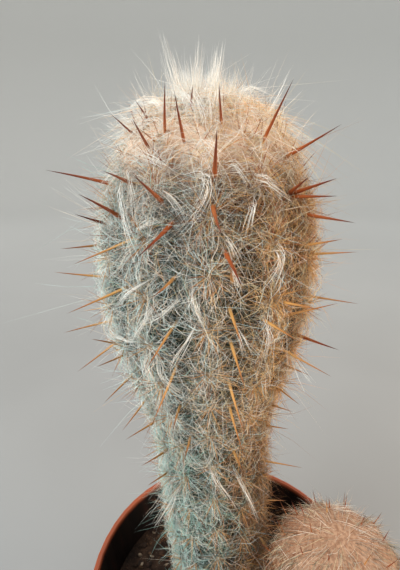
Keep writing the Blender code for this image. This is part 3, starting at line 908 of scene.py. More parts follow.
ROOT_DEPTH = 0.0026


def seen_spines(stem, pairs, length):
    """Feet and points in metres. The foot is sunk a little below the skin, or below the crown's felt."""
    pairs = np.asarray(pairs, float)
    along, angle, felt = seen_on_felt(stem, pairs[:, 0])
    feet = on_stem(stem, along, angle, felt - ROOT_DEPTH, follow=0.5)
    surface = on_stem(stem, along, angle, felt, follow=0.5)
    return feet, seen_tip(surface, pairs[:, 1], length)


def spine_paths(feet, tips, bend, points, rng):
    """A nearly straight path with a slight bow, the parabola t(1 - t) in a direction across it."""
    t = np.linspace(0.0, 1.0, points)[None, :, None]
    run = tips - feet
    across = unit(np.cross(run, rng.normal(0.0, 1.0, run.shape)))
    bow = across[:, None, :] * (bend * np.linalg.norm(run, axis=1))[:, None, None]
    return feet[:, None, :] + run[:, None, :] * t + bow * t * (1.0 - t)


def spine_widths(width, points):
    """Thickest a sixth of the way up, then an even taper to the point."""
    t = np.linspace(0.0, 1.0, points)[None, :]
    return width[:, None] * (0.72 + 0.28 * smooth(t, 0.0, 0.16)) * (1.0 - t) ** 0.85


# %% Spines over the rest of the plant
def grown_spines(stem, scale, length, rng, keep):
    """One central spine from each areole that keep allows: outwards, drooping low down and rising near the
    crown, with the same values as the CAD spines have."""
    places = AREOLES[stem.name]
    roots = on_stem(stem, places[:, 0], places[:, 1], 0.0)
    places = places[keep(roots)]
    roots = on_stem(stem, places[:, 0], places[:, 1], -ROOT_DEPTH)
    out, up, side = directions(stem, places[:, 0], places[:, 1])
    crown = smooth(roots[:, 2], stem.swell[0], stem.apex)
    sway = rng.uniform(-0.25, 0.25, (len(places), 1))
    nod = rng.uniform(-0.16, 0.16, (len(places), 1)) - 0.22 * (1.0 - crown[:, None]) + 0.8 * crown[:, None]
    heading = unit(out + side * sway + np.array([0.0, 0.0, 1.0]) * nod)
    size = scale[0] + (scale[1] - scale[0]) * smooth(roots[:, 2], SOIL_LEVEL, stem.swell[1])
    reach = (length * size * rng.uniform(0.82, 1.08, len(places)))[:, None]
    return roots, roots + heading * reach, size


def hidden_from_camera(stem, points):
    """True where the stem's surface faces away from the camera."""
    centre = axis_at(stem, points[:, 2])
    out = unit(points[:, :2] - centre)
    to_camera = unit(CAMERA_PLACE[:2] - centre)
    return np.sum(out * to_camera, axis=1) < -0.05


spine_rng = np.random.default_rng(41)
red_feet, red_tips = seen_spines(MAIN, RED_SPINES, RED_LENGTH)
amber_feet, amber_tips = seen_spines(MAIN, AMBER_SPINES, AMBER_LENGTH)
back_feet, back_tips, back_size = grown_spines(
    MAIN, (0.55, 1.0), 0.026, spine_rng, lambda roots: hidden_from_camera(MAIN, roots) & (roots[:, 2] < 0.352)
)
feet = np.concatenate([red_feet, amber_feet, back_feet])
tips = np.concatenate([red_tips, amber_tips, back_tips])
reach = np.linalg.norm(tips - feet, axis=1)
red_share = np.concatenate([
    spine_rng.uniform(0.62, 0.98, len(red_feet)), spine_rng.uniform(0.02, 0.40, len(amber_feet)),
    np.clip((back_size - 0.78) * 3.2 + spine_rng.uniform(0.0, 0.4, len(back_feet)), 0.02, 0.98),
])
paths = spine_paths(feet, tips, spine_rng.uniform(0.0, 0.05, len(feet)), 9, spine_rng)
young_share = smooth(feet[:, 2], 0.338, 0.356)
widths = spine_widths((0.00046 + 0.046 * reach * (0.75 + 0.35 * red_share)) * (1.0 - 0.35 * young_share), 9)
fit_piece(tube_piece("main_spines", paths, widths, red_share, sides=7), HORN)
print("longest spine", round(float(reach.max()) * 1000, 1), "mm")

shoot_feet, shoot_tips = seen_spines(SHOOT, SHOOT_SPINES, 0.0105)
grown_feet, grown_tips, _ = grown_spines(
    SHOOT, (0.40, 0.50), 0.026, spine_rng, lambda roots: roots[:, 2] > SOIL_LEVEL + 0.012
)
feet = np.concatenate([shoot_feet, grown_feet])
tips = np.concatenate([shoot_tips, grown_tips])
paths = spine_paths(feet, tips, spine_rng.uniform(0.0, 0.05, len(feet)), 7, spine_rng)
widths = spine_widths(np.full(len(feet), 0.0008), 7)
tones = spine_rng.uniform(0.3, 0.9, len(feet))
fit_piece(tube_piece("shoot_spines", paths, widths, tones, sides=6), HORN)


# %% [markdown]
# ## Bristles
#
# Round each central spine stands a star of thin radial spines, and near the crown the youngest ones only just come
# through the wool. They are much thinner than the central spines, three-sided, and sunk at their feet.

# %% Radial bristles
BRISTLE_POINTS = 4


def bristles(stem, per_areole, length, lean, rng):
    """Stars of bristles: each leaves its areole leaning from the normal by an angle, all round."""
    places = np.repeat(AREOLES[stem.name], per_areole, axis=0)
    count = len(places)
    roots = on_stem(stem, places[:, 0], places[:, 1], -0.0016)
    out, up, side = directions(stem, places[:, 0], places[:, 1])
    turn = 2.0 * math.pi * (np.arange(count) % per_areole + rng.uniform(-0.3, 0.3, count)) / per_areole
    tilt = rng.uniform(*lean, count)
    around = up * np.cos(turn)[:, None] + side * np.sin(turn)[:, None]
    heading = out * np.cos(tilt)[:, None] + around * np.sin(tilt)[:, None]
    size = 0.88 + 0.12 * smooth(roots[:, 2], SOIL_LEVEL, stem.swell[1])
    tips = roots + heading * (length * size * rng.uniform(0.7, 1.15, count))[:, None]
    return spine_paths(roots, tips, rng.uniform(0.0, 0.12, count), BRISTLE_POINTS, rng)


def crown_bristles(stem, count, low, rng):
    """Short young bristles that break through the wool, thickest at the crown's edge, rising and leaning
    outwards."""
    edge = along_at(stem, low)
    along = edge + (LENGTHS[stem.name] - 0.004 - edge) * rng.random(count) ** 1.9
    angle = rng.uniform(0.0, 2.0 * math.pi, count)
    roots = on_stem(stem, along, angle, skin_lift(stem, along))
    out, up, side = directions(stem, along, angle)
    heading = unit(out + 0.7 * up + rng.normal(0.0, 0.45, out.shape))
    tips = roots + heading * rng.uniform(0.0050, 0.0095, (count, 1))
    return spine_paths(roots, tips, rng.uniform(0.0, 0.1, count), BRISTLE_POINTS, rng)


bristle_rng = np.random.default_rng(51)
star = bristles(MAIN, 10, 0.0125, (0.40, 1.30), bristle_rng)
young = crown_bristles(MAIN, 900, 0.316, bristle_rng)
paths = np.concatenate([star, young])
tones = np.concatenate([bristle_rng.uniform(0.0, 0.5, len(star)), bristle_rng.uniform(0.4, 0.95, len(young))])
widths = spine_widths(bristle_rng.uniform(0.00030, 0.00046, len(paths)), BRISTLE_POINTS)
fit_piece(tube_piece("main_bristles", paths, widths, tones), HORN)
star = bristles(SHOOT, 3, 0.0050, (0.8, 1.4), bristle_rng)
widths = spine_widths(bristle_rng.uniform(0.00028, 0.00040, len(star)), BRISTLE_POINTS)
tones = bristle_rng.uniform(0.1, 0.8, len(star))
fit_piece(tube_piece("shoot_bristles", star, widths, tones), HORN)


# %% [markdown]
# ## The web of hair
#
# Each areole sends out long soft hairs that cross those of its neighbours and mat into a web. Dark green shows
# through it. Two layers are made: a close one of short hairs, and a loose one that bridges the furrows and
# lifts off at its tips, which gives the plant its halo.

# %% Roots of the web
def even_places(stem, count, low, high, rng):
    """Places spread evenly by area between two distances along: drawn from the running sum of the radius."""
    radius, _, line = OUTLINES[stem.name]
    inside = (line >= low) & (line <= high)
    area = np.cumsum(radius[inside])
    along = np.interp(rng.random(count), area / area[-1], line[inside])
    return along, rng.uniform(0.0, 2.0 * math.pi, count)


def areole_places(stem, count, low, high, spread, rng):
    """Places scattered closely round the areoles between two distances along."""
    places = AREOLES[stem.name]
    places = places[(places[:, 0] >= low) & (places[:, 0] <= high)]
    pick = places[rng.integers(0, len(places), count)]
    radius = np.interp(pick[:, 0], OUTLINES[stem.name][2], OUTLINES[stem.name][0])
    along = pick[:, 0] + rng.normal(0.0, spread, count)
    return along, pick[:, 1] + rng.normal(0.0, spread, count) / np.maximum(radius, 0.008)


def cover(stem, along, angle):
    """How well hair covers a place, 0 to 1: best on the crests and by the areoles, least in the furrows half
    way between them, with slow waves of its own, and a little less towards the foot."""
    crest = (1.0 + np.cos(stem.ribs * angle)) / 2.0
    row = (1.0 + np.cos(2.0 * math.pi * (along - 0.006) / stem.areole_spacing + stem.ribs * angle / 2.0)) / 2.0
    waves = 0.5 + 0.25 * (np.sin(310.0 * along + 3.0 * angle) + np.sin(170.0 * along - 5.0 * angle + 1.3))
    high = smooth(along, 0.00, 0.16)
    return 0.26 * crest + 0.14 * row + 0.38 * waves + 0.30 * high


def web(stem, name, count, low, high, length, rise, ends, width, points, star_share, bright, rng, patchy=0.7):
    """A layer of lying hairs, a share of them rooted at the areoles. More are drawn than are kept: the kept
    ones are those whose middles lie where cover, plus chance, is highest."""
    drawn = int(count * 1.6)
    stars = int(drawn * star_share)
    star_along, star_angle = areole_places(stem, stars, low, high, 0.0013, rng)
    even_along, even_angle = even_places(stem, drawn - stars, low, high, rng)
    along = np.concatenate([star_along, even_along])
    angle = np.concatenate([star_angle, even_angle])
    heading = rng.uniform(0.0, 2.0 * math.pi, drawn)
    turn = rng.normal(0.0, 0.50, drawn)
    paths, s, a = lying_paths(
        stem, along, angle, heading, rng.uniform(*length, drawn), turn, rng.uniform(*rise, drawn),
        np.where(rng.random(drawn) < 0.3, rng.uniform(*ends, drawn), rng.uniform(0.0, 0.0012, drawn)), points, rng=rng,
    )
    middle = points // 2
    score = cover(stem, s[:, middle], a[:, middle]) + patchy * rng.random(drawn)
    kept = np.sort(np.argsort(-score)[:count])
    tones = draw_tones(stem, paths[kept, 0], rng, bright)
    return tube_piece(name, paths[kept], hair_widths(count, points, width, rng), tones)


CROWN_START = along_at(MAIN, 0.340)
# The close layer's brightness runs only from 0 to 0.5: painted shade deep under the loose layer.
fit_piece(
    web(MAIN, "main_close_web", 38000, 0.002, CROWN_START, (0.005, 0.010), (0.0003, 0.0016), (0.001, 0.0022),
        0.00015, 2, 0.30, (0.0, 0.50), np.random.default_rng(61), 0.40),
    WOOL,
)
fit_piece(
    web(MAIN, "main_loose_web", 17200, 0.004, CROWN_START + 0.006, (0.008, 0.017), (0.0008, 0.0034), (0.002, 0.0060),
        0.00012, 3, 0.45, (0.6, 1.0), np.random.default_rng(62), 0.65),
    WOOL,
)


# %% [markdown]
# ## The crown
#
# Young areoles crowd together at the top, and their wool stands up as a dense cottony dome with a brush of
# long hairs in the middle. The hairs are standing ones, rooted all over the crown.

# %% Crown wool
def crown_wool(stem, name, count, low, short, tall, rng, width=0.00019, points=4):
    """Hairs that mat at their ends: out of the felt, then bent over sideways and down by the square of their
    length. They grow from short at the crown's edge to tall in its middle."""
    length = LENGTHS[stem.name]
    edge = along_at(stem, low)
    along, angle = even_places(stem, count, edge, length - 0.0003, rng)
    roots = on_stem(stem, along, angle, skin_lift(stem, along) - 0.0005)
    out, up, side = directions(stem, along, angle)
    middle = smooth(along, edge, length - 0.010)
    heading = unit(out + 0.25 * up + rng.normal(0.0, 0.5, out.shape))
    reach = (short + (tall - short) * middle) * rng.uniform(0.6, 1.15, count)
    over = rng.normal(0.0, 0.9, out.shape)
    over = over - np.sum(over * out, axis=1, keepdims=True) * out
    paths = standing_paths(roots, heading, reach, over - 0.6 * out, np.full(count, 0.05), points, rng)
    tones = draw_tones(stem, roots, rng, (0.35, 1.0))
    return tube_piece(name, paths, hair_widths(count, points, width, rng, thin=0.5), tones)


def combed_wool(stem, name, count, low, length, rng, width=0.00014, points=4):
    """Long hairs that leave the skin outwards and are laid down the sides from the crown, as if combed."""
    edge = along_at(stem, low)
    along, angle = even_places(stem, count, edge, LENGTHS[stem.name] - 0.0003, rng)
    roots = on_stem(stem, along, angle, skin_lift(stem, along) - 0.0005)
    out, up, side = directions(stem, along, angle)
    heading = unit(0.30 * out - 0.85 * up + rng.normal(0.0, 0.18, out.shape))
    bend = -0.25 * up - 0.34 * out + rng.normal(0.0, 0.16, out.shape)
    paths = standing_paths(roots, heading, rng.uniform(*length, count), bend, np.full(count, 0.03), points, rng)
    return tube_piece(name, paths, hair_widths(count, points, width, rng), draw_tones(stem, roots, rng, (0.0, 0.8)))


fit_piece(
    crown_wool(MAIN, "crown_wool", 12400, 0.323, 0.0060, 0.0125, np.random.default_rng(71), width=0.00014),
    CROWN_WOOL,
)
fit_piece(
    combed_wool(SHOOT, "shoot_wool", 5400, 0.126, (0.008, 0.015), np.random.default_rng(72)),
    SHOOT_WOOL,
)
fit_piece(
    web(SHOOT, "shoot_web", 1500, 0.002, LENGTHS["side_shoot"] - 0.01, (0.008, 0.016), (0.0006, 0.0025),
        (0.002, 0.005), 0.00016, 4, 0.4, (0.2, 0.9), np.random.default_rng(63)),
    WOOL,
)


# %% Crown brush and halo
def brush(stem, locks, hairs, spread, length, close, rng):
    """Long hairs from the middle of the crown, upright and fanning out, in locks that share a heading."""
    lock_away = spread * np.sqrt(rng.uniform(0.0, 1.0, locks))
    lock_angle = rng.uniform(0.0, 2.0 * math.pi, locks)
    lock = np.repeat(np.arange(locks), hairs)
    count = len(lock)
    along = LENGTHS[stem.name] - np.abs(lock_away[lock] + rng.normal(0.0, 0.0006, count))
    angle = lock_angle[lock] + rng.normal(0.0, 0.05, count)
    roots = on_stem(stem, along, angle, skin_lift(stem, along))
    radial = np.stack([np.cos(lock_angle), np.sin(lock_angle), np.zeros(locks)], axis=1)
    fan = radial * (lock_away / spread * 0.8)[:, None] + rng.normal(0.0, 0.2, (locks, 3)) + np.array([0.0, 0.0, 1.0])
    heading = unit(unit(fan)[lock] + rng.normal(0.0, close, (count, 3)))
    size = rng.uniform(*length, locks)[lock] * rng.uniform(0.7, 1.05, count) * (1.0 - 0.3 * lock_away[lock] / spread)
    bend = rng.normal(0.0, 0.10, (count, 3)) + rng.normal(0.0, 0.35, (locks, 3))[lock]
    return standing_paths(roots, heading, size, bend, np.full(count, 0.03), 6, rng)


brush_rng = np.random.default_rng(81)
paths = np.concatenate([
    brush(MAIN, 7, 26, 0.009, (0.009, 0.014), 0.16, brush_rng),
    brush(MAIN, 150, 1, 0.040, (0.008, 0.018), 0.30, brush_rng),
])
tones = np.where(brush_rng.random(len(paths)) < 0.7, only_tone("white", len(paths), brush_rng, (0.8, 1.0)),
                 only_tone("cream", len(paths), brush_rng, (0.8, 1.0)))
fit_piece(tube_piece("crown_brush", paths, hair_widths(len(paths), 6, 0.00012, brush_rng), tones), CROWN_WOOL)


def halo(stem, name, count, low, high, length, rng, points=4, sector=None):
    """Fine single hairs that stand off the stem, leaning any way: all round it, or in a sector of angles."""
    along, angle = even_places(stem, count, low, high, rng)
    if sector is not None:
        angle = rng.uniform(*sector, count)
    roots = on_stem(stem, along, angle, skin_lift(stem, along), follow=0.6)
    out, up, side = directions(stem, along, angle)
    heading = unit(out + rng.normal(0.0, 0.75, out.shape))
    bend = rng.normal(0.0, 0.5, out.shape)
    size = length[0] + (length[1] - length[0]) * rng.random(count) ** 1.6
    paths = standing_paths(roots, heading, size, bend, np.full(count, 0.06), points, rng)
    tones = draw_tones(stem, roots, rng, (0.4, 1.0))
    return tube_piece(name, paths, hair_widths(count, points, 0.00011, rng), tones)


halo_rng = np.random.default_rng(82)
fit_piece(halo(MAIN, "main_stem_halo", 4300, 0.004, CROWN_START, (0.006, 0.016), halo_rng), WOOL)
fit_piece(
    halo(MAIN, "crown_halo", 2200, CROWN_START - 0.02, LENGTHS["main_stem"], (0.004, 0.012), halo_rng), CROWN_WOOL
)
fit_piece(halo(MAIN, "foot_fringe", 1000, 0.004, 0.120, (0.004, 0.010), halo_rng, sector=(-1.2, 1.0)), WOOL)
fit_piece(halo(SHOOT, "side_shoot_halo", 400, 0.004, LENGTHS["side_shoot"], (0.003, 0.006), halo_rng), WOOL)


# %% [markdown]
# ## Long locks
#
# A few thick white locks wander over the web, and they catch the eye. Those that the photograph shows are drawn
# through listed pixels. Each lock is a bundle of hairs that start together and part at the tip.

# %% Locks that lie on the plant, each as three pixels from root to tip
LYING_LOCKS = (
    ((222, 154), (238, 172), (251, 194)), ((259, 164), (272, 186), (297, 200)), ((175, 171), (208, 190), (154, 254)),
    ((112, 160), (122, 215), (150, 281)), ((223, 231), (233, 252), (240, 277)), ((146, 281), (124, 296), (110, 318)),
    ((199, 326), (184, 348), (168, 374)), ((188, 281), (196, 310), (207, 339)), ((147, 357), (168, 384), (197, 405)),
    ((235, 270), (238, 282), (244, 296)), ((238, 328), (243, 344), (249, 361)), ((269, 313), (268, 338), (262, 365)),
    ((128, 237), (122, 262), (104, 282)), ((128, 237), (147, 225), (168, 221)), ((134, 353), (150, 372), (158, 398)),
    ((134, 353), (120, 340), (104, 334)), ((175, 168), (150, 160), (128, 150)), ((150, 185), (170, 200), (186, 226)),
    ((262, 190), (252, 214), (246, 244)), ((283, 232), (279, 262), (262, 290)), ((205, 470), (222, 490), (238, 516)),
    ((176, 300), (160, 316), (140, 322)), ((236, 470), (250, 500), (262, 524)), ((150, 300), (140, 330), (128, 352)),
    ((168, 107), (150, 108), (131, 113)), ((170, 109), (152, 109), (133, 114)), ((106, 126), (122, 121), (142, 130)),
    ((176, 88), (181, 106), (184, 126)), ((195, 88), (199, 108), (204, 132)), ((206, 86), (207, 106), (203, 128)),
    ((214, 90), (216, 106), (213, 124)), ((232, 93), (251, 93), (271, 104)), ((194, 137), (212, 148), (227, 161)),
    ((117, 164), (130, 186), (137, 238)), ((150, 96), (143, 108), (128, 124)), ((186, 90), (190, 108), (194, 128)),
)
LOCK_HAIRS = 11
LOCK_POINTS = 9


def lying_locks(stem, lines, hairs, points, rng):
    """A lock is the parabola through three places on the stem, lifted off it along the way. Each of its hairs
    runs over its own part of that line and strays from it further along, so the lock frays at both ends."""
    pixels = np.asarray(lines, float)
    count = len(pixels)
    along, angle, _ = seen_on_felt(stem, pixels.reshape(-1, 2), 0.003)
    along, angle = along.reshape(count, 3, 1, 1), np.unwrap(angle.reshape(count, 3), axis=1).reshape(count, 3, 1, 1)
    start = rng.uniform(0.0, 0.30, (count, hairs, 1))
    end = rng.uniform(0.60, 1.08, (count, hairs, 1))
    t = start + (end - start) * np.linspace(0.0, 1.0, points)
    weights = np.stack([(1.0 - t) * (1.0 - 2.0 * t), 4.0 * t * (1.0 - t), t * (2.0 * t - 1.0)], axis=1)
    part = 0.00020 + 0.0011 * t**1.2
    s = np.sum(along * weights, axis=1) + rng.normal(0.0, 1.0, (count, hairs, 1)) * part
    spread = rng.normal(0.0, 1.0, (count, hairs, 1)) * part
    radius = np.interp(along[:, 1, 0], OUTLINES[stem.name][2], OUTLINES[stem.name][0])[:, None]
    a = np.sum(angle * weights, axis=1) + spread / radius
    rise = smooth((t - start) / (end - start), 0.0, 0.4)
    lift = -0.001 + 0.0045 * rise + 0.0007 * rng.normal(0.0, 1.0, (count, hairs, 1)) * t
    lift = lift + 1.35 * felt_height(stem, s)
    return on_stem(stem, s, a, lift, follow=0.2).reshape(-1, points, 3)


# %% Locks that reach into the air, as a root pixel and a tip pixel
PLUME = (
    ((180, 118), (177, 82)), ((184, 124), (180, 78)), ((188, 120), (185, 74)), ((186, 112), (181, 70)),
    ((192, 124), (191, 80)), ((196, 120), (194, 78)), ((200, 124), (200, 80)), ((204, 120), (206, 76)),
    ((208, 124), (211, 76)), ((212, 120), (217, 74)), ((216, 116), (222, 78)), ((210, 112), (214, 70)),
    ((198, 112), (197, 72)), ((190, 110), (188, 70)),
)
STRANDS = (
    ((184, 112), (163, 39)), ((182, 114), (171, 54)), ((200, 110), (197, 56)), ((200, 104), (201, 39)),
    ((207, 108), (217, 48)), ((208, 104), (223, 41)),
)
REACHING_LOCKS = (
    ((115, 242), (62, 187)), ((152, 104), (136, 68)), ((150, 106), (131, 76)), ((170, 110), (100, 130)),
    ((160, 118), (86, 146)), ((276, 112), (296, 76)), ((240, 96), (262, 72)), ((186, 96), (176, 62)),
    ((270, 132), (306, 130)), ((194, 94), (190, 58)), ((216, 96), (232, 62)), ((150, 115), (118, 96)),
    ((292, 352), (312, 392)), ((176, 486), (156, 528)), ((172, 498), (160, 524)), ((170, 478), (150, 512)),
    ((236, 98), (248, 66)), ((262, 108), (284, 84)), ((112, 128), (92, 124)),
)
SHOOT_LOCKS = (
    ((334, 508), (378, 531)), ((326, 508), (366, 524)), ((338, 514), (384, 540)), ((330, 509), (372, 527)),
    ((320, 508), (352, 512)), ((338, 522), (380, 548)),
)


def reaching_locks(stem, lines, length, hairs, points, rng, loose=0.00025, stray=0.045):
    """Bundles from a root on the stem to a tip on its own line of sight, with a bow across the run."""
    pixels = np.asarray(lines, float)
    along, angle = seen_place(stem, pixels[:, 0])
    roots = on_stem(stem, along, angle, -0.001)
    tips = seen_tip(roots, pixels[:, 1], length)
    run = np.repeat(tips - roots, hairs, axis=0)
    roots = np.repeat(roots, hairs, axis=0) + rng.normal(0.0, loose, run.shape)
    bend = np.repeat(rng.normal(0.0, 0.12, (len(pixels), 3)), hairs, axis=0) + rng.normal(0.0, 0.05, run.shape)
    size = np.linalg.norm(run, axis=1) * rng.uniform(0.75, 1.10, len(run))
    heading = unit(run) - bend + rng.normal(0.0, stray, run.shape)
    return standing_paths(roots, heading, size, bend, np.full(len(run), 0.012), points, rng)


def white_wool(count, rng, share=0.85):
    """Nearly all of one pale tone, the others cream."""
    return np.where(rng.random(count) < share, only_tone("white", count, rng, (0.65, 1.0)),
                    only_tone("cream", count, rng, (0.5, 1.0)))


lock_rng = np.random.default_rng(91)
lying = lying_locks(MAIN, LYING_LOCKS, LOCK_HAIRS, LOCK_POINTS, lock_rng)
reaching = reaching_locks(MAIN, REACHING_LOCKS, 0.022, 7, LOCK_POINTS, lock_rng, 0.0004, 0.10)
strands = reaching_locks(MAIN, STRANDS, 0.023, 16, LOCK_POINTS, lock_rng, 0.0005, 0.030)
paths = np.concatenate([lying, reaching, strands])
widths = hair_widths(len(paths), LOCK_POINTS, 0.00012, lock_rng)
fit_piece(tube_piece("long_locks", paths, widths, white_wool(len(paths), lock_rng)), CROWN_WOOL)
veil = reaching_locks(MAIN, PLUME, 0.014, 70, 5, lock_rng, 0.0020, 0.12)
widths = hair_widths(len(veil), 5, 0.00009, lock_rng)
fit_piece(tube_piece("crown_plume", veil, widths, white_wool(len(veil), lock_rng)), CROWN_WOOL)
flare = reaching_locks(SHOOT, SHOOT_LOCKS, 0.017, 36, 6, lock_rng, 0.0016, 0.07)
widths = hair_widths(len(flare), 6, 0.00012, lock_rng)
fit_piece(tube_piece("shoot_locks", flare, widths, white_wool(len(flare), lock_rng, 0.3)), CROWN_WOOL)


# %% [markdown]
# ## Pot and soil
#
# The pot and the soil keep their CAD shapes. The pot is brown-red moulded plastic: satin, cloudy with use, and paler
# on the lip, partly from scuffs and partly as painted warm lamp light. It is dark inside as painted shade. The soil is
# dark and crumbly.

# %% Pot finish
def pot_finish():
    """Brown-red plastic. Height and the wall's side pick the lip, the inside darkened as painted shade, and the outer
    wall.
    """
    finish = Finish("pot_plastic", Roughness=0.45, Specular_IOR_Level=0.3)
    place = finish.place()
    axes = [finish.add("ShaderNodeSeparateXYZ", None, {0: place}, output=axis) for axis in range(3)]
    height = axes[2]
    away = (axes[0] * axes[0] + axes[1] * axes[1]).sum("SQRT")
    clouds = finish.noise(place, 35.0, 4.0)
    fine = finish.noise(place, 900.0, 3.0)
    streaks = finish.noise(finish.stretch(place, (160.0, 160.0, 9.0)), 1.0, 4.0)
    wall = finish.ramp(clouds, [(0.3, paint(88, 38, 21)), (0.5, paint(106, 48, 27)), (0.7, paint(124, 60, 35))])
    scuff = finish.step(streaks, 0.52, 0.80) * 0.22 + finish.step(fine, 0.58, 0.75) * 0.16
    # The lip is made paler all round: partly wear, partly painted lamp light on the rim.
    lip = finish.step(height, 0.1268, 0.1296)
    scuffed_and_lit_wall = finish.mix(scuff + 0.35 * lip, wall, paint(190, 96, 58))
    # The inside wall is painted near black with faint streaks: painted shade inside the deep pot.
    inner = finish.step(height * 0.1593 - away + 0.0515, -0.0008, 0.0002) * (1.0 - finish.step(height, 0.1262, 0.1292))
    painted_inside_shade = finish.ramp(streaks, [(0.35, paint(7, 3, 3)), (0.55, paint(15, 6, 4)), (0.75, paint(42, 17, 10))])
    finish.drive("Base Color", finish.mix(inner, scuffed_and_lit_wall, painted_inside_shade))
    finish.drive("Roughness", 0.40 + 0.25 * scuff + 0.15 * clouds)
    finish.bump(fine * 0.6 + streaks * 0.4, 0.0002, 0.5)
    return finish.material


POT = pot_finish()
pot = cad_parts["pot"]
for index in range(len(pot.material_slots)):
    pot.material_slots[index].material = POT


# %% Soil finish
def soil_finish():
    """Dark mix: crumbs from cells, fibres and pale specks from noise, and a rough bump."""
    finish = Finish("potting_mix", Roughness=0.95, Specular_IOR_Level=0.15)
    place = finish.place()
    crumbs = finish.add("ShaderNodeTexVoronoi", None, {"Vector": place, "Scale": 420.0})
    grain = finish.noise(place, 1200.0, 4.0)
    clouds = finish.noise(place, 90.0, 3.0)
    colour = finish.ramp(clouds, [(0.3, paint(24, 17, 13)), (0.5, paint(40, 28, 21)), (0.7, paint(62, 45, 33))])
    speck = finish.step(grain, 0.66, 0.72)
    finish.drive("Base Color", finish.mix(0.7 * speck, colour, paint(150, 132, 108)))
    finish.drive("Roughness", 0.85 + 0.15 * grain)
    finish.bump(crumbs * 0.6 + grain * 0.4, 0.0012, 0.9)
    return finish.material


SOIL = soil_finish()
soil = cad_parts["soil"]
for index in range(len(soil.material_slots)):
    soil.material_slots[index].material = SOIL


# %% Grit on the soil
SOIL_WAVES = ((0.0007, 25.0, 9.0, 0.3), (0.0006, -11.0, 34.0, 0.8), (0.0003, 46.0, -21.0, 0.1))


def soil_height(x, y):
    """The soil's level plus its waves, the same sum of sines as the CAD solid has."""
    waves = [high * np.sin(2.0 * math.pi * (ax * x + ay * y + shift)) for high, ax, ay, shift in SOIL_WAVES]
    return SOIL_LEVEL + sum(waves)


def grit(count, rng):
    """Small stones and bark bits: a ball of 14 points, each pushed in or out, flattened and turned."""
    far = 0.0655 * np.sqrt(rng.random(count * 3))
    turn = rng.uniform(0.0, 2.0 * math.pi, count * 3)
    x, y = far * np.cos(turn), far * np.sin(turn)
    free = np.hypot(x - MAIN.foot[0], y - MAIN.foot[1]) > MAIN.radii[0] + 0.003
    free &= np.hypot(x - SHOOT.foot[0], y - SHOOT.foot[1]) > SHOOT.radii[0] + 0.003
    x, y = x[free][:count], y[free][:count]
    count = len(x)
    six = np.arange(6) * math.pi / 3.0
    ball = np.concatenate([
        [[0.0, 0.0, -1.0]], np.stack([0.85 * np.cos(six), 0.85 * np.sin(six), np.full(6, -0.45)], axis=1),
        np.stack([0.85 * np.cos(six + 0.5), 0.85 * np.sin(six + 0.5), np.full(6, 0.45)], axis=1), [[0.0, 0.0, 1.0]],
    ])
    left, right = np.arange(6), (np.arange(6) + 1) % 6
    faces = np.concatenate([
        np.stack([np.zeros(6, int), 1 + right, 1 + left], axis=1), np.stack([1 + left, 1 + right, 7 + left], axis=1),
        np.stack([1 + right, 7 + right, 7 + left], axis=1), np.stack([7 + left, 7 + right, np.full(6, 13)], axis=1),
    ])
    size = rng.uniform(0.0007, 0.0021, (count, 1, 1)) * rng.uniform(0.5, 1.4, (count, 1, 3))
    stones = ball[None] * rng.uniform(0.75, 1.2, (count, 14, 1)) * size
    yaw = rng.uniform(0.0, 2.0 * math.pi, (count, 1))
    turned = stones.copy()
    turned[..., 0] = stones[..., 0] * np.cos(yaw) - stones[..., 1] * np.sin(yaw)
    turned[..., 1] = stones[..., 0] * np.sin(yaw) + stones[..., 1] * np.cos(yaw)
    turned += np.stack([x, y, soil_height(x, y) + 0.15 * size[:, 0, 2]], axis=1)[:, None, :]
    shift = (np.arange(count) * 14)[:, None, None]
    return mesh_object("soil_grit", turned.reshape(-1, 3), [(faces[None] + shift).reshape(-1, 3)])


def grit_finish():
    """Pumice, bark and coal-dark crumbs, told apart by large flat noise cells."""
    finish = Finish("grit", Roughness=0.9, Specular_IOR_Level=0.2)
    place = finish.place()
    cells = finish.add("ShaderNodeTexVoronoi", None, {"Vector": place, "Scale": 260.0}, output="Color")
    pick = finish.add("ShaderNodeSeparateColor", None, {0: cells})
    grain = finish.noise(place, 1600.0, 3.0)
    colour = finish.ramp(pick, [(0.0, paint(30, 21, 16)), (0.45, paint(56, 38, 27)), (0.75, paint(92, 68, 48)),
                                (1.0, paint(150, 134, 114))])
    finish.drive("Base Color", finish.mix(0.35 * grain, colour, paint(40, 30, 24)))
    finish.drive("Roughness", 0.8 + 0.2 * grain)
    finish.bump(grain, 0.0003, 0.7)
    return finish.material


fit_piece(grit(700, np.random.default_rng(95)), grit_finish())

# %% [markdown]
# ## Floor and light
#
# The floor is plain and pale. It sweeps up into a round wall far behind the plant, as paper does in a photo
# studio, so that no edge cuts across the picture from any side. Soft daylight comes in from above, and three
# large soft lights stand round the plant: a cool one from the left front, a warm one from the right and one
# from behind that lights up the edge of the wool.

# %% Floor
FLOOR_FLAT = 2.2
FLOOR_BEND = 1.1
WALL_TOP = 2.4


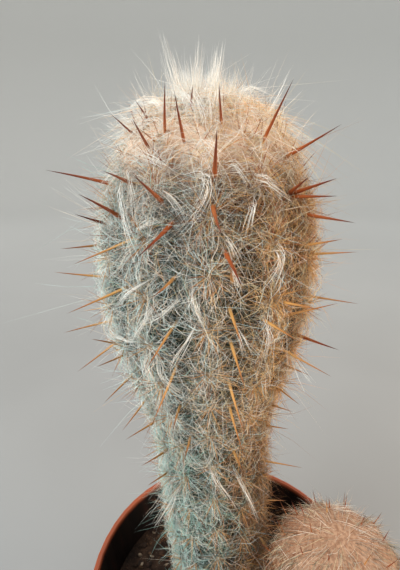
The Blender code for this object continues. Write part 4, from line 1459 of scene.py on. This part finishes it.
def make_floor(columns=96, rows=16):
    """A turned profile: level out to a radius, a quarter circle up, then straight up to the wall's top."""
    bend = np.linspace(0.0, math.pi / 2.0, rows)
    radius = np.concatenate([[0.4, 1.2], FLOOR_FLAT + FLOOR_BEND * np.sin(bend), [FLOOR_FLAT + FLOOR_BEND]])
    height = np.concatenate([[0.0, 0.0], FLOOR_BEND * (1.0 - np.cos(bend)), [WALL_TOP]])
    turn = 2.0 * math.pi * np.arange(columns) / columns
    ring = np.stack([radius[:, None] * np.cos(turn), radius[:, None] * np.sin(turn), height[:, None] + 0.0 * turn], axis=-1)
    points = np.concatenate([ring.reshape(-1, 3), [[0.0, 0.0, 0.0]]])
    row = np.arange(len(radius) - 1)[:, None] * columns
    left = np.arange(columns)[None, :]
    right = (left + 1) % columns
    bands = np.stack([row + left, row + columns + left, row + columns + right, row + right], axis=-1).reshape(-1, 4)
    middle = np.stack([left[0], right[0], np.full(columns, len(points) - 1)], axis=-1)
    floor = mesh_object("floor", points, [bands, middle])
    finish = Finish("floor_paint", Roughness=0.9, Specular_IOR_Level=0.1)
    place = finish.place()
    axes = [finish.add("ShaderNodeSeparateXYZ", None, {0: place}, output=axis) for axis in range(2)]
    away = (axes[0] * axes[0] + axes[1] * axes[1]).sum("SQRT")
    clouds = finish.noise(place, 3.0, 2.0)
    near = finish.ramp(clouds, [(0.4, paint(143, 143, 142)), (0.6, paint(147, 147, 146))])
    finish.drive("Base Color", finish.mix(finish.step(away, 0.2, 1.9), near, paint(206, 207, 205)))
    floor.data.materials.append(finish.material)
    return floor


make_floor()


# %% Lights
def soft_light(name, place, aim, size, power, colour):
    """A square area light that faces a point."""
    data = bpy.data.lights.new(name, "AREA")
    data.size = size
    data.energy = power
    data.color = colour
    light = bpy.data.objects.new(name, data)
    light.location = place
    toward = np.asarray(aim) - np.asarray(place)
    flat = math.hypot(toward[0], toward[1])
    light.rotation_euler = (math.atan2(flat, -toward[2]), 0.0, math.atan2(toward[1], toward[0]) - math.pi / 2.0)
    bpy.context.scene.collection.objects.link(light)


AIM = (0.0, 0.0, 0.28)
soft_light("window_light", (-0.66, -0.60, 0.66), AIM, 0.6, 11.8, (0.93, 0.99, 1.0))
soft_light("room_light", (0.74, -0.22, 0.42), AIM, 0.5, 5.6, (1.0, 0.86, 0.70))
soft_light("edge_light", (0.12, 0.70, 0.90), AIM, 0.6, 3.6, (1.0, 0.97, 0.93))
world = bpy.data.worlds.new("studio")
world.use_nodes = True
world.node_tree.nodes["Background"].inputs["Color"].default_value = (1.0, 0.99, 0.97, 1.0)
world.node_tree.nodes["Background"].inputs["Strength"].default_value = 0.95
bpy.context.scene.world = world
print("all added pieces:", sum(triangle_counts.values()), "triangles")

# %% Update the scene
bpy.context.view_layer.update()
